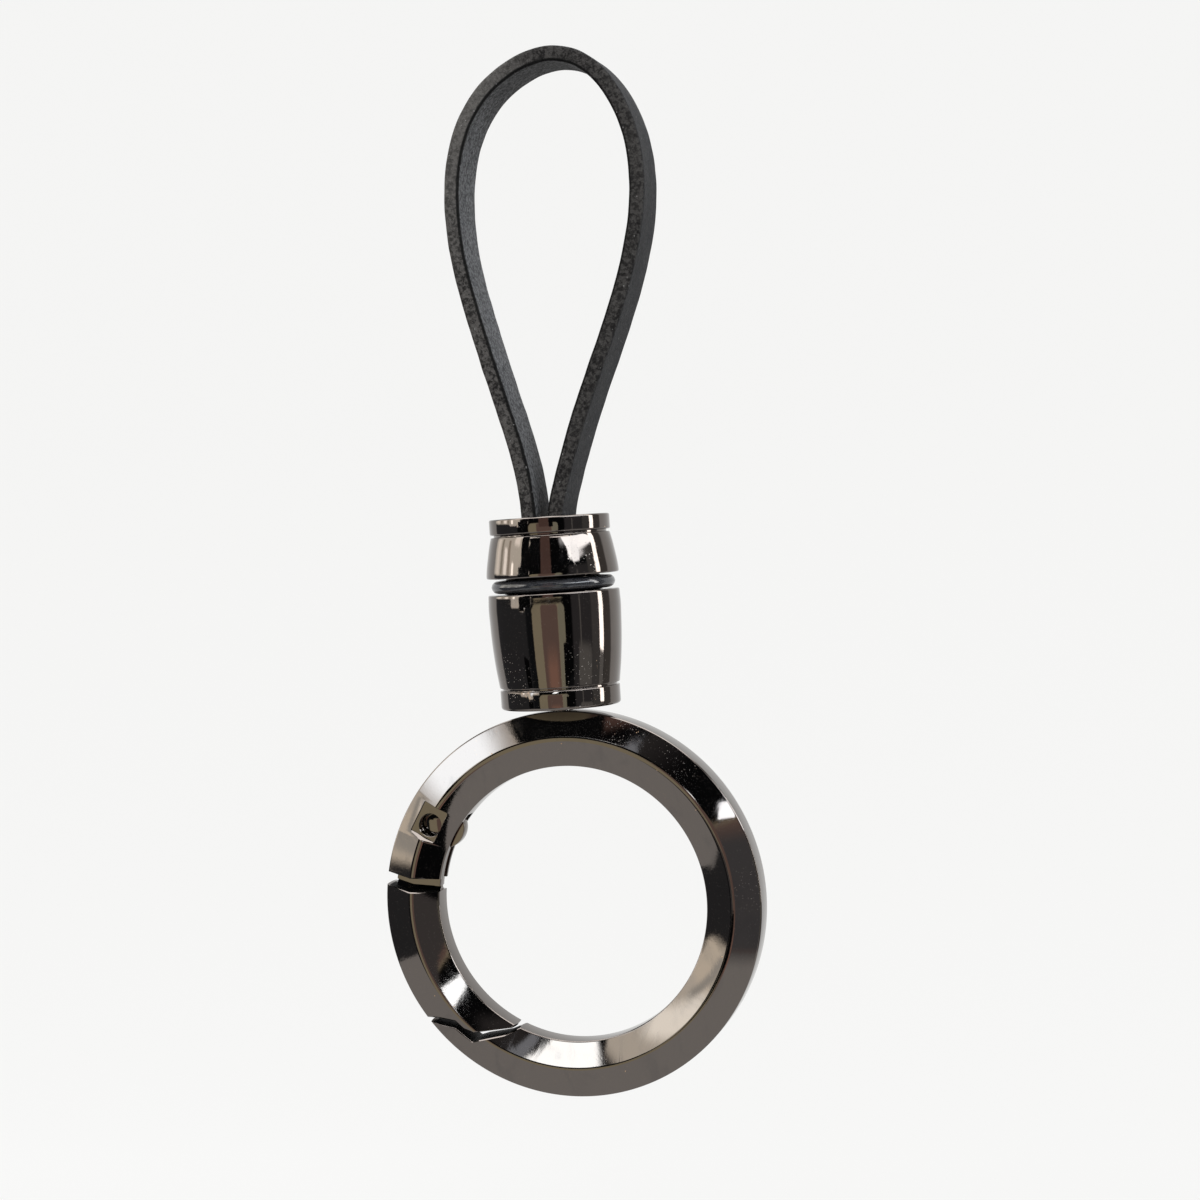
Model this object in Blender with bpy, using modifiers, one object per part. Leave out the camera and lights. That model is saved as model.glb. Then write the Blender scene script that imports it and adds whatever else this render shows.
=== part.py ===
"""Strap key holder: a leather loop, a turned barrel with a swivel, and a spring gate ring.

Metres, +Z up, the ring and the loop in the XZ plane with their fronts towards -Y.
The origin is the hook seat: the inside of the top of the strap's loop.
"""

import math

import bmesh
import bpy
import numpy as np
from mathutils import Matrix, Vector

# Clearances and small finishes
RUNNING_CLEARANCE = 0.00012
SEAT_CLEARANCE = 0.00015
SIDE_CLEARANCE = 0.00015
OVERRUN = 0.0010
EDGE_BREAK = 0.00012
MERGE_DISTANCE = 0.0000012

# Strap
STRAP_WIDTH = 0.0052
STRAP_THICKNESS = 0.0014
STRAP_EDGE_ROUND = 0.00035
STRAP_TAIL = 0.0058
LEG_SPACING = 0.00244
LOOP_HEIGHT = 0.04085
LOOP_HALF_WIDTH = 0.00855
LOOP_LEAN = 0.0033

# Ferrule and cross pin on the strap's ends
FERRULE_RADIUS = 0.0037
FERRULE_BELOW_TAIL = 0.0003
STRAP_PIN_RADIUS = 0.00045
STRAP_PIN_ABOVE_TAIL = 0.0022

# Collar, the upper half of the barrel
RIM_RADIUS = 0.00545
RIM_HEIGHT = 0.00142
TURNED_GROOVE_WIDTH = 0.0002
TURNED_GROOVE_DEPTH = 0.00024
BAND_TOP_RADIUS = 0.00535
BAND_RADIUS = 0.00595
BAND_HEIGHT = 0.00365
MOUTH_WALL = 0.0013
MOUTH_CORNER = 0.0005
COLLAR_WALL = 0.0004
SPIGOT_LENGTH = 0.0026

# Rubber ring between the halves
RUBBER_THICKNESS = 0.00115
RUBBER_RADIUS = 0.00558
RUBBER_SIDE_GAP = 0.0002

# Barrel, the lower half
BARREL_RADIUS = 0.0060
BASE_RADIUS = 0.00542
BARREL_BODY_HEIGHT = 0.0084
BASE_RIM_HEIGHT = 0.00175
FLOOR_THICKNESS = 0.0022

# Swivel
POST_RADIUS = 0.00145
POST_HEAD_RADIUS = 0.0026
POST_HEAD_HEIGHT = 0.0013
POST_SPIGOT_RADIUS = 0.0009
POST_SPIGOT_SHARE = 0.48
POST_SHOULDER_SHARE = 0.33
WASHER_RADIUS = 0.0032
WASHER_THICKNESS = 0.0003

# Spring gate ring
RING_GAP = 0.00035
RING_INNER_RADIUS = 0.0125
RING_WALL = 0.0050
RIDGE_WALL_SHARE = 0.5
RING_OUTER_WIDTH = 0.0027
RING_RIDGE_WIDTH = 0.0037
RING_INNER_WIDTH = 0.0023
RIDGE_FLAT = 0.0003

# Gate, its pin and its spring, as shares of the ring's wall where they have to fit in it
HINGE_DEGREES = 149.2
HINGE_WALL_SHARE = 0.474
PIN_RADIUS_SHARE = 0.19
PIN_FRONT_RECESS = 0.0004
PIN_BACK_RECESS = 0.00015
POCKET_LENGTH_SHARE = 0.65
POCKET_WIDTH_SHARE = 0.48
POCKET_OFFSET_SHARE = 0.04
POCKET_DEPTH = 0.0004
SLOT_WIDTH = 0.0015
SLOT_OUTER_WALL_SHARE = 0.11
SLOT_CORNER_DEGREES = 3.0
SLOT_OVERRUN_DEGREES = 2.0
TONGUE_ROOT_DEGREES = 4.0
HEEL_OFFSET_SHARE = 0.22
HEEL_REACH_SHARE = 0.75
HEEL_DEGREES = -18.0
SPRING_WIRE_RADIUS = 0.00008
SPRING_CLEARANCE = 0.00022
SPRING_PITCH = 0.0002
SPRING_TURNS = 2
SPRING_BODY_DEGREES = 65.0
SPRING_GATE_LEG_SHARE = 0.6
SPRING_BODY_LEG_SHARE = 0.44
SPRING_RECESS_SHARE = 0.51
SPRING_GROOVE_WIDTH = 0.0006

# Shares of the loop: (share of its height, share of its half width, share of its lean)
LOOP_SHARES = (
    (0.061, 0.186, 0.07),
    (0.242, 0.436, 0.24),
    (0.460, 0.791, 0.46),
    (0.585, 0.945, 0.56),
    (0.704, 1.000, 0.64),
    (0.808, 0.945, 0.69),
    (0.885, 0.805, 0.74),
    (0.942, 0.607, 0.82),
    (0.980, 0.365, 0.92),
)
# Shares of a turned stretch: (share of its height from the top, share of its swell)
BAND_SHARES = ((0.0, 0.0), (0.17, 0.30), (0.45, 0.64), (0.75, 0.89), (1.0, 1.0))
BARREL_SHARES = (
    (0.0, 0.68),
    (0.015, 0.88),
    (0.06, 0.92),
    (0.15, 0.98),
    (0.27, 0.94),
    (0.42, 0.86),
    (0.56, 0.74),
    (0.70, 0.57),
    (0.82, 0.38),
    (0.92, 0.18),
    (1.0, 0.02),
)
# Cut lines of the gate's opening: (share of the wall from inside to outside, degrees)
BODY_SHOULDER_SHARES = ((-0.3, 167.1), (0.54, 169.5), (1.3, 168.0))
GATE_SHOULDER_SHARES = ((-0.3, 173.2), (0.54, 174.0), (1.3, 171.6))
BODY_NOSE_SHARES = (
    (1.16, 214.4),
    (0.70, 223.6),
    (0.68, 230.7),
    (0.57, 232.2),
    (0.226, 239.4),
    (0.0, 243.5),
    (-0.3, 248.0),
)
GATE_NOSE_SHARES = (
    (1.11, 213.8),
    (0.804, 217.9),
    (0.61, 222.0),
    (0.60, 225.8),
    (0.534, 229.2),
    (0.148, 237.0),
    (-0.3, 244.5),
)

# Finenesses
STRAP_STEPS = 84
TURNED_STEPS = 48
RING_STEPS = 72
SMALL_STEPS = 24

# Sizes and places that follow from the ones above
COLLAR_TOP = STRAP_THICKNESS / 2 - LOOP_HEIGHT
FERRULE_BORE = FERRULE_RADIUS + SEAT_CLEARANCE
NECK_RADIUS = FERRULE_BORE + COLLAR_WALL
BAND_TOP = -RIM_HEIGHT - TURNED_GROOVE_WIDTH
BAND_BOTTOM = BAND_TOP - BAND_HEIGHT
RUBBER_GROOVE = RUBBER_THICKNESS + 2 * RUBBER_SIDE_GAP
BARREL_TOP = BAND_BOTTOM - RUBBER_GROOVE
SPIGOT_BOTTOM = BARREL_TOP - SPIGOT_LENGTH
BASE_TOP = BARREL_TOP - BARREL_BODY_HEIGHT - TURNED_GROOVE_WIDTH
BARREL_BOTTOM = BASE_TOP - BASE_RIM_HEIGHT
FLOOR_TOP = BARREL_BOTTOM + FLOOR_THICKNESS
BARREL_BORE = NECK_RADIUS + SEAT_CLEARANCE
RING_OUTER_RADIUS = RING_INNER_RADIUS + RING_WALL
RING_TOP = BARREL_BOTTOM - RING_GAP
RING_CENTRE = RING_TOP - RING_OUTER_RADIUS
RING_RIDGE_RADIUS = RING_INNER_RADIUS + RIDGE_WALL_SHARE * RING_WALL
POST_SPIGOT_LENGTH = POST_SPIGOT_SHARE * RING_WALL
HINGE_RADIUS = RING_INNER_RADIUS + HINGE_WALL_SHARE * RING_WALL
PIN_RADIUS = PIN_RADIUS_SHARE * RING_WALL
POCKET_LENGTH = POCKET_LENGTH_SHARE * RING_WALL
POCKET_WIDTH = POCKET_WIDTH_SHARE * RING_WALL
POCKET_OFFSET = POCKET_OFFSET_SHARE * RING_WALL
HEEL_OFFSET = HEEL_OFFSET_SHARE * RING_WALL
SLOT_RADIUS = RING_OUTER_RADIUS - SLOT_OUTER_WALL_SHARE * RING_WALL
TONGUE_RADIUS = SLOT_RADIUS - SEAT_CLEARANCE
KNUCKLE_RADIUS = TONGUE_RADIUS - HINGE_RADIUS
TONGUE_WIDTH = SLOT_WIDTH - 2 * SIDE_CLEARANCE
SLOT_REACH = HEEL_REACH_SHARE * HEEL_OFFSET + KNUCKLE_RADIUS + RUNNING_CLEARANCE
SLOT_DEGREES = HINGE_DEGREES - math.degrees(math.asin(SLOT_REACH / HINGE_RADIUS))
POCKET_FLOOR = RING_RIDGE_WIDTH / 2 - POCKET_DEPTH
SPRING_RADIUS = PIN_RADIUS + SPRING_CLEARANCE + SPRING_WIRE_RADIUS
SPRING_GATE_LEG = SPRING_GATE_LEG_SHARE * RING_WALL
SPRING_BODY_LEG = SPRING_BODY_LEG_SHARE * RING_WALL
SPRING_RECESS_RADIUS = SPRING_RECESS_SHARE * RING_WALL


def clear_scene():
    """Remove every object, so that the script can be run again."""
    for thing in list(bpy.data.objects):
        bpy.data.objects.remove(thing, do_unlink=True)


def collection(name):
    """Make a collection in the scene."""
    group = bpy.data.collections.new(name)
    bpy.context.scene.collection.children.link(group)
    return group


def material(name, colour, roughness, metallic):
    """Make a plain material."""
    made = bpy.data.materials.new(name)
    made.use_nodes = True
    shader = made.node_tree.nodes["Principled BSDF"]
    shader.inputs["Base Color"].default_value = (*colour, 1.0)
    shader.inputs["Roughness"].default_value = roughness
    shader.inputs["Metallic"].default_value = metallic
    return made


def empty(name, place, parent=None):
    """Make an empty that marks an axis or a joint, in its parent's frame."""
    marker = bpy.data.objects.new(name, None)
    marker.empty_display_size = OVERRUN
    marker.location = place
    marker.parent = parent
    part_group.objects.link(marker)
    return marker


def add_object(name, mesh, group, finish=None, parent=None):
    """Put a mesh in the scene under a name."""
    made = bpy.data.objects.new(name, mesh)
    if finish:
        mesh.materials.clear()
        mesh.materials.append(finish)
    made.parent = parent
    group.objects.link(made)
    if group is cutter_group:
        made.hide_render = True
        made.display_type = "WIRE"
    return made


def baked(thing):
    """Take an object's evaluated mesh in world space, and remove the object."""
    bpy.context.view_layer.update()
    graph = bpy.context.evaluated_depsgraph_get()
    mesh = bpy.data.meshes.new_from_object(thing.evaluated_get(graph))
    mesh.transform(thing.matrix_world)
    bpy.data.objects.remove(thing, do_unlink=True)
    shape = bmesh.new()
    shape.from_mesh(mesh)
    bmesh.ops.remove_doubles(shape, verts=shape.verts, dist=MERGE_DISTANCE)
    shape.to_mesh(mesh)
    shape.free()
    return mesh


def smooth(mesh, degrees=30.0):
    """Shade a round mesh smooth, with its sharp edges kept."""
    mesh.shade_smooth()
    mesh.set_sharp_from_angle(angle=math.radians(degrees))


def polar(radius, degrees, centre=(0.0, 0.0)):
    """A point at a radius and an angle from a centre, as two coordinates."""
    angle = math.radians(degrees)
    return (centre[0] + radius * math.cos(angle), centre[1] + radius * math.sin(angle))


def arc(radius, start, end, steps, centre=(0.0, 0.0)):
    """Points along an arc, both ends in."""
    return [polar(radius, start + (end - start) * i / steps, centre) for i in range(steps + 1)]


def turned(name, outline, group, finish=None, parent=None, steps=TURNED_STEPS):
    """Turn a closed outline of (radius, height) about Z. It runs down its outer side."""
    shape = bmesh.new()
    corners = [shape.verts.new((radius, 0.0, height)) for radius, height in outline]
    for i, corner in enumerate(corners):
        shape.edges.new((corners[i - 1], corner))
    mesh = bpy.data.meshes.new(name)
    shape.to_mesh(mesh)
    shape.free()
    made = add_object(name, mesh, group, finish, parent)
    screw = made.modifiers.new("turn", "SCREW")
    screw.axis = "Z"
    screw.steps = steps
    screw.render_steps = steps
    screw.use_merge_vertices = True
    screw.merge_threshold = MERGE_DISTANCE
    screw.use_smooth_shade = True
    return made


def rod(name, radius, top, bottom, group, finish=None, parent=None, steps=SMALL_STEPS):
    """A cylinder on Z between two heights."""
    shape = bmesh.new()
    middle = Matrix.Translation((0.0, 0.0, (top + bottom) / 2))
    bmesh.ops.create_cone(shape, cap_ends=True, segments=steps, radius1=radius, radius2=radius,
                          depth=top - bottom, matrix=middle)
    mesh = bpy.data.meshes.new(name)
    shape.to_mesh(mesh)
    shape.free()
    smooth(mesh)
    return add_object(name, mesh, group, finish, parent)


def box(name, size, group, bevel=0.0):
    """A box about its centre, with its upright edges rounded if asked."""
    shape = bmesh.new()
    bmesh.ops.create_cube(shape, size=1.0, matrix=Matrix.Diagonal((*size, 1.0)))
    if bevel:
        upright = [e for e in shape.edges if abs(e.verts[0].co.z - e.verts[1].co.z) > size[2] / 2]
        bmesh.ops.bevel(shape, geom=upright, offset=bevel, segments=3, profile=0.5, affect="EDGES")
    mesh = bpy.data.meshes.new(name)
    shape.to_mesh(mesh)
    shape.free()
    return add_object(name, mesh, group)


def plate(name, outline, half_width, finish=None):
    """A flat outline in the XZ plane, thickened along Y to both sides, as a mesh."""
    curve = bpy.data.curves.new(name, "CURVE")
    curve.dimensions = "2D"
    curve.fill_mode = "BOTH"
    curve.extrude = half_width
    line = curve.splines.new("POLY")
    line.points.add(len(outline) - 1)
    for point, (x, z) in zip(line.points, outline):
        point.co = (x, z, 0.0, 1.0)
    line.use_cyclic_u = True
    drawn = bpy.data.objects.new(name, curve)
    drawn.rotation_euler = (math.radians(90.0), 0.0, 0.0)
    cutter_group.objects.link(drawn)
    mesh = baked(drawn)
    if finish:
        mesh.materials.append(finish)
    return mesh


def wire(name, points, radius, finish, parent=None):
    """A round wire through points, with closed ends."""
    curve = bpy.data.curves.new(name, "CURVE")
    curve.dimensions = "3D"
    curve.bevel_depth = radius
    curve.bevel_resolution = 2
    curve.use_fill_caps = True
    line = curve.splines.new("POLY")
    line.points.add(len(points) - 1)
    for point, place in zip(line.points, points):
        point.co = (*place, 1.0)
    curve.materials.append(finish)
    made = bpy.data.objects.new(name, curve)
    made.parent = parent
    part_group.objects.link(made)
    return made


def cut(target, cutter, operation="DIFFERENCE"):
    """Cut, join or keep the overlap of two objects with an exact Boolean."""
    change = target.modifiers.new(cutter.name, "BOOLEAN")
    change.operation = operation
    change.solver = "EXACT"
    change.object = cutter


def smooth_path(knots, count):
    """Points at even steps along the smoothest curve through knots, a natural cubic."""
    knots = np.array(knots)
    steps = np.linalg.norm(np.diff(knots, axis=0), axis=1)
    along = np.concatenate(([0.0], np.cumsum(steps)))
    size = len(knots)
    matrix = np.eye(size)
    right = np.zeros_like(knots)
    for i in range(1, size - 1):
        matrix[i, i - 1:i + 2] = steps[i - 1] / 6, (steps[i - 1] + steps[i]) / 3, steps[i] / 6
        right[i] = (knots[i + 1] - knots[i]) / steps[i] - (knots[i] - knots[i - 1]) / steps[i - 1]
    bends = np.linalg.solve(matrix, right)
    result = []
    for place in np.linspace(0.0, along[-1], count):
        i = min(int(np.searchsorted(along, place, side="right")) - 1, size - 2)
        a = (along[i + 1] - place) / steps[i]
        b = 1 - a
        bend = ((a**3 - a) * bends[i] + (b**3 - b) * bends[i + 1]) * steps[i] ** 2 / 6
        result.append(a * knots[i] + b * knots[i + 1] + bend)
    return result


def loop_knots():
    """The strap's centreline as (x, z) knots from the barrel's axis and the collar's top."""
    leg = LEG_SPACING / 2
    left = [(-leg, -STRAP_TAIL), (-leg, -STRAP_TAIL / 2), (-leg, 0.0)]
    right = [(leg, z) for _, z in left]
    for height, half, lean in LOOP_SHARES:
        middle = lean * LOOP_LEAN
        left.append((middle - half * LOOP_HALF_WIDTH, height * LOOP_HEIGHT))
        right.append((middle + half * LOOP_HALF_WIDTH, height * LOOP_HEIGHT))
    return left + [(LOOP_LEAN, LOOP_HEIGHT)] + right[::-1]


def wall_point(share, degrees):
    """A point on a ring's section, by its share of the wall from inside to outside."""
    return polar(RING_INNER_RADIUS + share * RING_WALL, degrees)


def opening(shoulder, nose):
    """The closed outline between a shoulder line, round the outside, to a nose line."""
    beyond = shoulder[-1][0]
    start, end = shoulder[-1][1], nose[0][1]
    outside = [wall_point(beyond, start + (end - start) * i / 6) for i in range(1, 6)]
    return [wall_point(*p) for p in shoulder] + outside + [wall_point(*p) for p in nose]


def build_strap(parent):
    """The leather strap: a ribbon along the loop, thickened and with its edges rounded."""
    path = smooth_path(loop_knots(), STRAP_STEPS)
    shape = bmesh.new()
    rows = [[shape.verts.new((x, side * STRAP_WIDTH / 2, z)) for side in (-1, 1)] for x, z in path]
    for (a, b), (c, d) in zip(rows, rows[1:]):
        shape.faces.new((a, b, d, c))
    mesh = bpy.data.meshes.new("strap")
    shape.to_mesh(mesh)
    shape.free()
    smooth(mesh)
    strap = add_object("strap", mesh, part_group, leather, parent)
    thick = strap.modifiers.new("thickness", "SOLIDIFY")
    thick.thickness = STRAP_THICKNESS
    thick.offset = 0.0
    thick.use_even_offset = True
    soft = strap.modifiers.new("edges", "BEVEL")
    soft.width = STRAP_EDGE_ROUND
    soft.segments = 2
    soft.limit_method = "ANGLE"
    soft.angle_limit = math.radians(60.0)
    cut(strap, strap_pin_tool(parent))
    return strap


def strap_pin_tool(parent):
    """The cutter of the cross pin's hole, with clearance."""
    if "strap_pin_hole" in bpy.data.objects:
        return bpy.data.objects["strap_pin_hole"]
    reach = FERRULE_RADIUS + OVERRUN
    hole = rod("strap_pin_hole", STRAP_PIN_RADIUS + SEAT_CLEARANCE, reach, -reach, cutter_group,
               parent=parent)
    hole.location = (0.0, 0.0, STRAP_PIN_ABOVE_TAIL - STRAP_TAIL)
    hole.rotation_euler = (0.0, math.radians(90.0), 0.0)
    return hole


def build_ferrule(parent):
    """The slotted plug on the strap's ends, and its cross pin."""
    top = -MOUTH_WALL - SEAT_CLEARANCE
    bottom = -STRAP_TAIL - FERRULE_BELOW_TAIL
    ferrule = rod("strap_ferrule", FERRULE_RADIUS, top, bottom, part_group, brass, parent,
                  TURNED_STEPS)
    slot_size = (STRAP_THICKNESS + 2 * SEAT_CLEARANCE, STRAP_WIDTH + 2 * SEAT_CLEARANCE,
                 top - bottom + 2 * OVERRUN)
    for side, name in ((-1, "ferrule_slot_left"), (1, "ferrule_slot_right")):
        slot = box(name, slot_size, cutter_group, MOUTH_CORNER)
        slot.parent = parent
        slot.location = (side * LEG_SPACING / 2, 0.0, (top + bottom) / 2)
        cut(ferrule, slot)
    cut(ferrule, strap_pin_tool(parent))
    # The pin ends inside the ferrule's round wall, so it can't touch the collar's bore
    half = math.sqrt(FERRULE_RADIUS**2 - STRAP_PIN_RADIUS**2)
    pin = rod("strap_pin", STRAP_PIN_RADIUS, half, -half, part_group, steel, parent)
    pin.location = (0.0, 0.0, STRAP_PIN_ABOVE_TAIL - STRAP_TAIL)
    pin.rotation_euler = (0.0, math.radians(90.0), 0.0)


def build_collar(parent):
    """The upper half of the barrel: rim, flared band, neck and the spigot in the lower half."""
    swell = BAND_RADIUS - BAND_TOP_RADIUS
    rim = [(RIM_RADIUS - EDGE_BREAK, 0.0), (RIM_RADIUS, -EDGE_BREAK),
           (RIM_RADIUS, -RIM_HEIGHT + EDGE_BREAK), (RIM_RADIUS - EDGE_BREAK, -RIM_HEIGHT)]
    groove = BAND_TOP_RADIUS - TURNED_GROOVE_DEPTH
    band = [(groove, -RIM_HEIGHT), (groove, BAND_TOP)]
    band += [(BAND_TOP_RADIUS + b * swell, BAND_TOP - a * (BAND_HEIGHT - EDGE_BREAK))
             for a, b in BAND_SHARES]
    band += [(BAND_RADIUS - EDGE_BREAK, BAND_BOTTOM)]
    neck = [(NECK_RADIUS, BAND_BOTTOM), (NECK_RADIUS, SPIGOT_BOTTOM + EDGE_BREAK),
            (NECK_RADIUS - EDGE_BREAK, SPIGOT_BOTTOM), (FERRULE_BORE, SPIGOT_BOTTOM)]
    # The bore stops under the mouth, which is a slot cut through a solid wall
    inside = [(FERRULE_BORE, -MOUTH_WALL), (MOUTH_CORNER, -MOUTH_WALL), (MOUTH_CORNER, 0.0)]
    collar = turned("collar", rim + band + neck + inside, part_group, black_nickel, parent)
    mouth_size = (LEG_SPACING + STRAP_THICKNESS + 2 * RUNNING_CLEARANCE + SEAT_CLEARANCE,
                  STRAP_WIDTH + 2 * SEAT_CLEARANCE, 2 * (MOUTH_WALL + OVERRUN))
    mouth = box("collar_mouth", mouth_size, cutter_group, MOUTH_CORNER)
    mouth.parent = parent
    cut(collar, mouth)


def build_rubber_ring(parent):
    """The rubber ring in the groove between the two halves."""
    half = RUBBER_THICKNESS / 2
    ring = arc(half, 90.0, -270.0, 10, (RUBBER_RADIUS - half, (BAND_BOTTOM + BARREL_TOP) / 2))
    turned("rubber_ring", ring[:-1], part_group, rubber, parent)


def build_barrel(parent):
    """The lower half of the barrel: a cup with a rim at its base and a hole in its floor."""
    swell = BARREL_RADIUS - BASE_RADIUS
    body = [(BASE_RADIUS + b * swell, BARREL_TOP - a * BARREL_BODY_HEIGHT) for a, b in BARREL_SHARES]
    groove = BASE_RADIUS - TURNED_GROOVE_DEPTH
    base = [(groove, body[-1][1]), (groove, BASE_TOP),
            (BASE_RADIUS - EDGE_BREAK, BASE_TOP), (BASE_RADIUS, BASE_TOP - EDGE_BREAK),
            (BASE_RADIUS, BARREL_BOTTOM + 2 * EDGE_BREAK),
            (BASE_RADIUS - 2 * EDGE_BREAK, BARREL_BOTTOM)]
    hole = POST_RADIUS + RUNNING_CLEARANCE
    inside = [(hole, BARREL_BOTTOM), (hole, FLOOR_TOP), (BARREL_BORE, FLOOR_TOP),
              (BARREL_BORE, BARREL_TOP)]
    turned("barrel", body + base + inside, part_group, black_nickel, parent)


def build_swivel(parent):
    """The post that the ring hangs on, and the washer under its head."""
    washer_top = FLOOR_TOP + SEAT_CLEARANCE + WASHER_THICKNESS
    hole = POST_RADIUS + RUNNING_CLEARANCE
    washer = [(WASHER_RADIUS, washer_top), (WASHER_RADIUS, washer_top - WASHER_THICKNESS),
              (hole, washer_top - WASHER_THICKNESS), (hole, washer_top)]
    turned("swivel_washer", washer, part_group, steel, parent)
    head_bottom = washer_top + SEAT_CLEARANCE
    head_top = head_bottom + POST_HEAD_HEIGHT
    shoulder = RING_TOP + RING_GAP * POST_SHOULDER_SHARE
    spigot_bottom = RING_TOP - POST_SPIGOT_LENGTH
    post = rod("swivel_post", POST_HEAD_RADIUS, head_top, head_bottom, part_group, steel, parent)
    shank = rod("post_shank", POST_RADIUS, head_bottom + POST_HEAD_HEIGHT / 2, shoulder,
                cutter_group, parent=parent)
    spigot = rod("post_spigot", POST_SPIGOT_RADIUS, shoulder + POST_HEAD_HEIGHT / 2, spigot_bottom,
                 cutter_group, parent=parent)
    cut(post, shank, "UNION")
    cut(post, spigot, "UNION")


def ring_blank():
    """The whole ring before it is cut, as a mesh about the ring's centre in the XZ plane."""
    half_outer, half_ridge, half_inner = (
        RING_OUTER_WIDTH / 2, RING_RIDGE_WIDTH / 2, RING_INNER_WIDTH / 2)
    flat = RIDGE_FLAT / 2
    section = [
        (RING_INNER_RADIUS + EDGE_BREAK, half_inner),
        (RING_RIDGE_RADIUS - flat, half_ridge),
        (RING_RIDGE_RADIUS + flat, half_ridge),
        (RING_OUTER_RADIUS - EDGE_BREAK, half_outer),
        (RING_OUTER_RADIUS, half_outer - EDGE_BREAK),
        (RING_OUTER_RADIUS, EDGE_BREAK - half_outer),
        (RING_OUTER_RADIUS - EDGE_BREAK, -half_outer),
        (RING_RIDGE_RADIUS + flat, -half_ridge),
        (RING_RIDGE_RADIUS - flat, -half_ridge),
        (RING_INNER_RADIUS + EDGE_BREAK, -half_inner),
        (RING_INNER_RADIUS, EDGE_BREAK - half_inner),
        (RING_INNER_RADIUS, half_inner - EDGE_BREAK),
    ]
    whole = turned("ring_blank", section, cutter_group, steps=RING_STEPS)
    whole.rotation_euler = (math.radians(90.0), 0.0, 0.0)
    mesh = baked(whole)
    smooth(mesh)
    return mesh


def slot_outline():
    """The slot that the gate's tongue turns in, open to the inside of the ring."""
    inside = RING_INNER_RADIUS - OVERRUN
    into_opening = BODY_SHOULDER_SHARES[1][1] + SLOT_OVERRUN_DEGREES
    corner = SLOT_DEGREES + SLOT_CORNER_DEGREES
    outer = arc(SLOT_RADIUS, into_opening, corner, 10)
    end = [polar(HINGE_RADIUS, SLOT_DEGREES), polar(inside, SLOT_DEGREES)]
    inner = arc(inside, SLOT_DEGREES, into_opening, 4)
    return outer + end + inner[1:]


def tongue_outline():
    """The gate's tongue: an arm, a knuckle round the pin and a heel that bulges inward."""
    pin = polar(HINGE_RADIUS, HINGE_DEGREES)
    heel = polar(HEEL_OFFSET, HEEL_DEGREES, pin)
    inner = RING_INNER_RADIUS + EDGE_BREAK
    root = GATE_SHOULDER_SHARES[1][1] + TONGUE_ROOT_DEGREES
    arm = arc(TONGUE_RADIUS, root, HINGE_DEGREES, 8)
    knuckle = arc(KNUCKLE_RADIUS, HINGE_DEGREES, HEEL_DEGREES + 90.0, 6, pin)
    # The heel's circle is left where it meets the arm's inner side
    reach = math.hypot(*heel)
    towards_centre = math.degrees(math.atan2(-heel[1], -heel[0]))
    cosine = (reach**2 + KNUCKLE_RADIUS**2 - inner**2) / (2 * reach * KNUCKLE_RADIUS)
    leave = towards_centre - math.degrees(math.acos(cosine))
    bulge = arc(KNUCKLE_RADIUS, HEEL_DEGREES + 90.0, leave, 10, heel)
    last = math.degrees(math.atan2(bulge[-1][1], bulge[-1][0]))
    back = arc(inner, last, root, 6)
    return arm + knuckle[1:] + bulge + back[1:]


def build_ring(blank, parent):
    """The ring's body: the blank less the gate's opening, slot, recesses and holes."""
    body = add_object("ring_body", blank.copy(), part_group, black_nickel, parent)
    deep = RING_RIDGE_WIDTH / 2 + OVERRUN
    gap = plate("gate_opening", opening(BODY_SHOULDER_SHARES, BODY_NOSE_SHARES), deep)
    cut(body, add_object("gate_opening", gap, cutter_group, parent=parent))
    slot = plate("tongue_slot", slot_outline(), SLOT_WIDTH / 2)
    cut(body, add_object("tongue_slot", slot, cutter_group, parent=parent))
    pin_x, pin_z = polar(HINGE_RADIUS, HINGE_DEGREES)
    hole = rod("pin_hole", PIN_RADIUS + SEAT_CLEARANCE, deep, -deep, cutter_group, parent=parent)
    hole.rotation_euler = (math.radians(90.0), 0.0, 0.0)
    hole.location = (pin_x, 0.0, pin_z)
    cut(body, hole)
    pocket_x, pocket_z = polar(HINGE_RADIUS + POCKET_OFFSET, HINGE_DEGREES)
    for side, name in ((-1, "front_pocket"), (1, "back_pocket")):
        pocket = box(name, (POCKET_WIDTH, deep - POCKET_FLOOR, POCKET_LENGTH), cutter_group)
        pocket.parent = parent
        pocket.location = (pocket_x, side * (deep + POCKET_FLOOR) / 2, pocket_z)
        pocket.rotation_euler = (0.0, -math.radians(HINGE_DEGREES), 0.0)
        cut(body, pocket)
    socket = rod("post_socket", POST_SPIGOT_RADIUS + SEAT_CLEARANCE, RING_OUTER_RADIUS + OVERRUN,
                 RING_OUTER_RADIUS - POST_SPIGOT_LENGTH - SEAT_CLEARANCE, cutter_group,
                 parent=parent)
    cut(body, socket)


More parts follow.
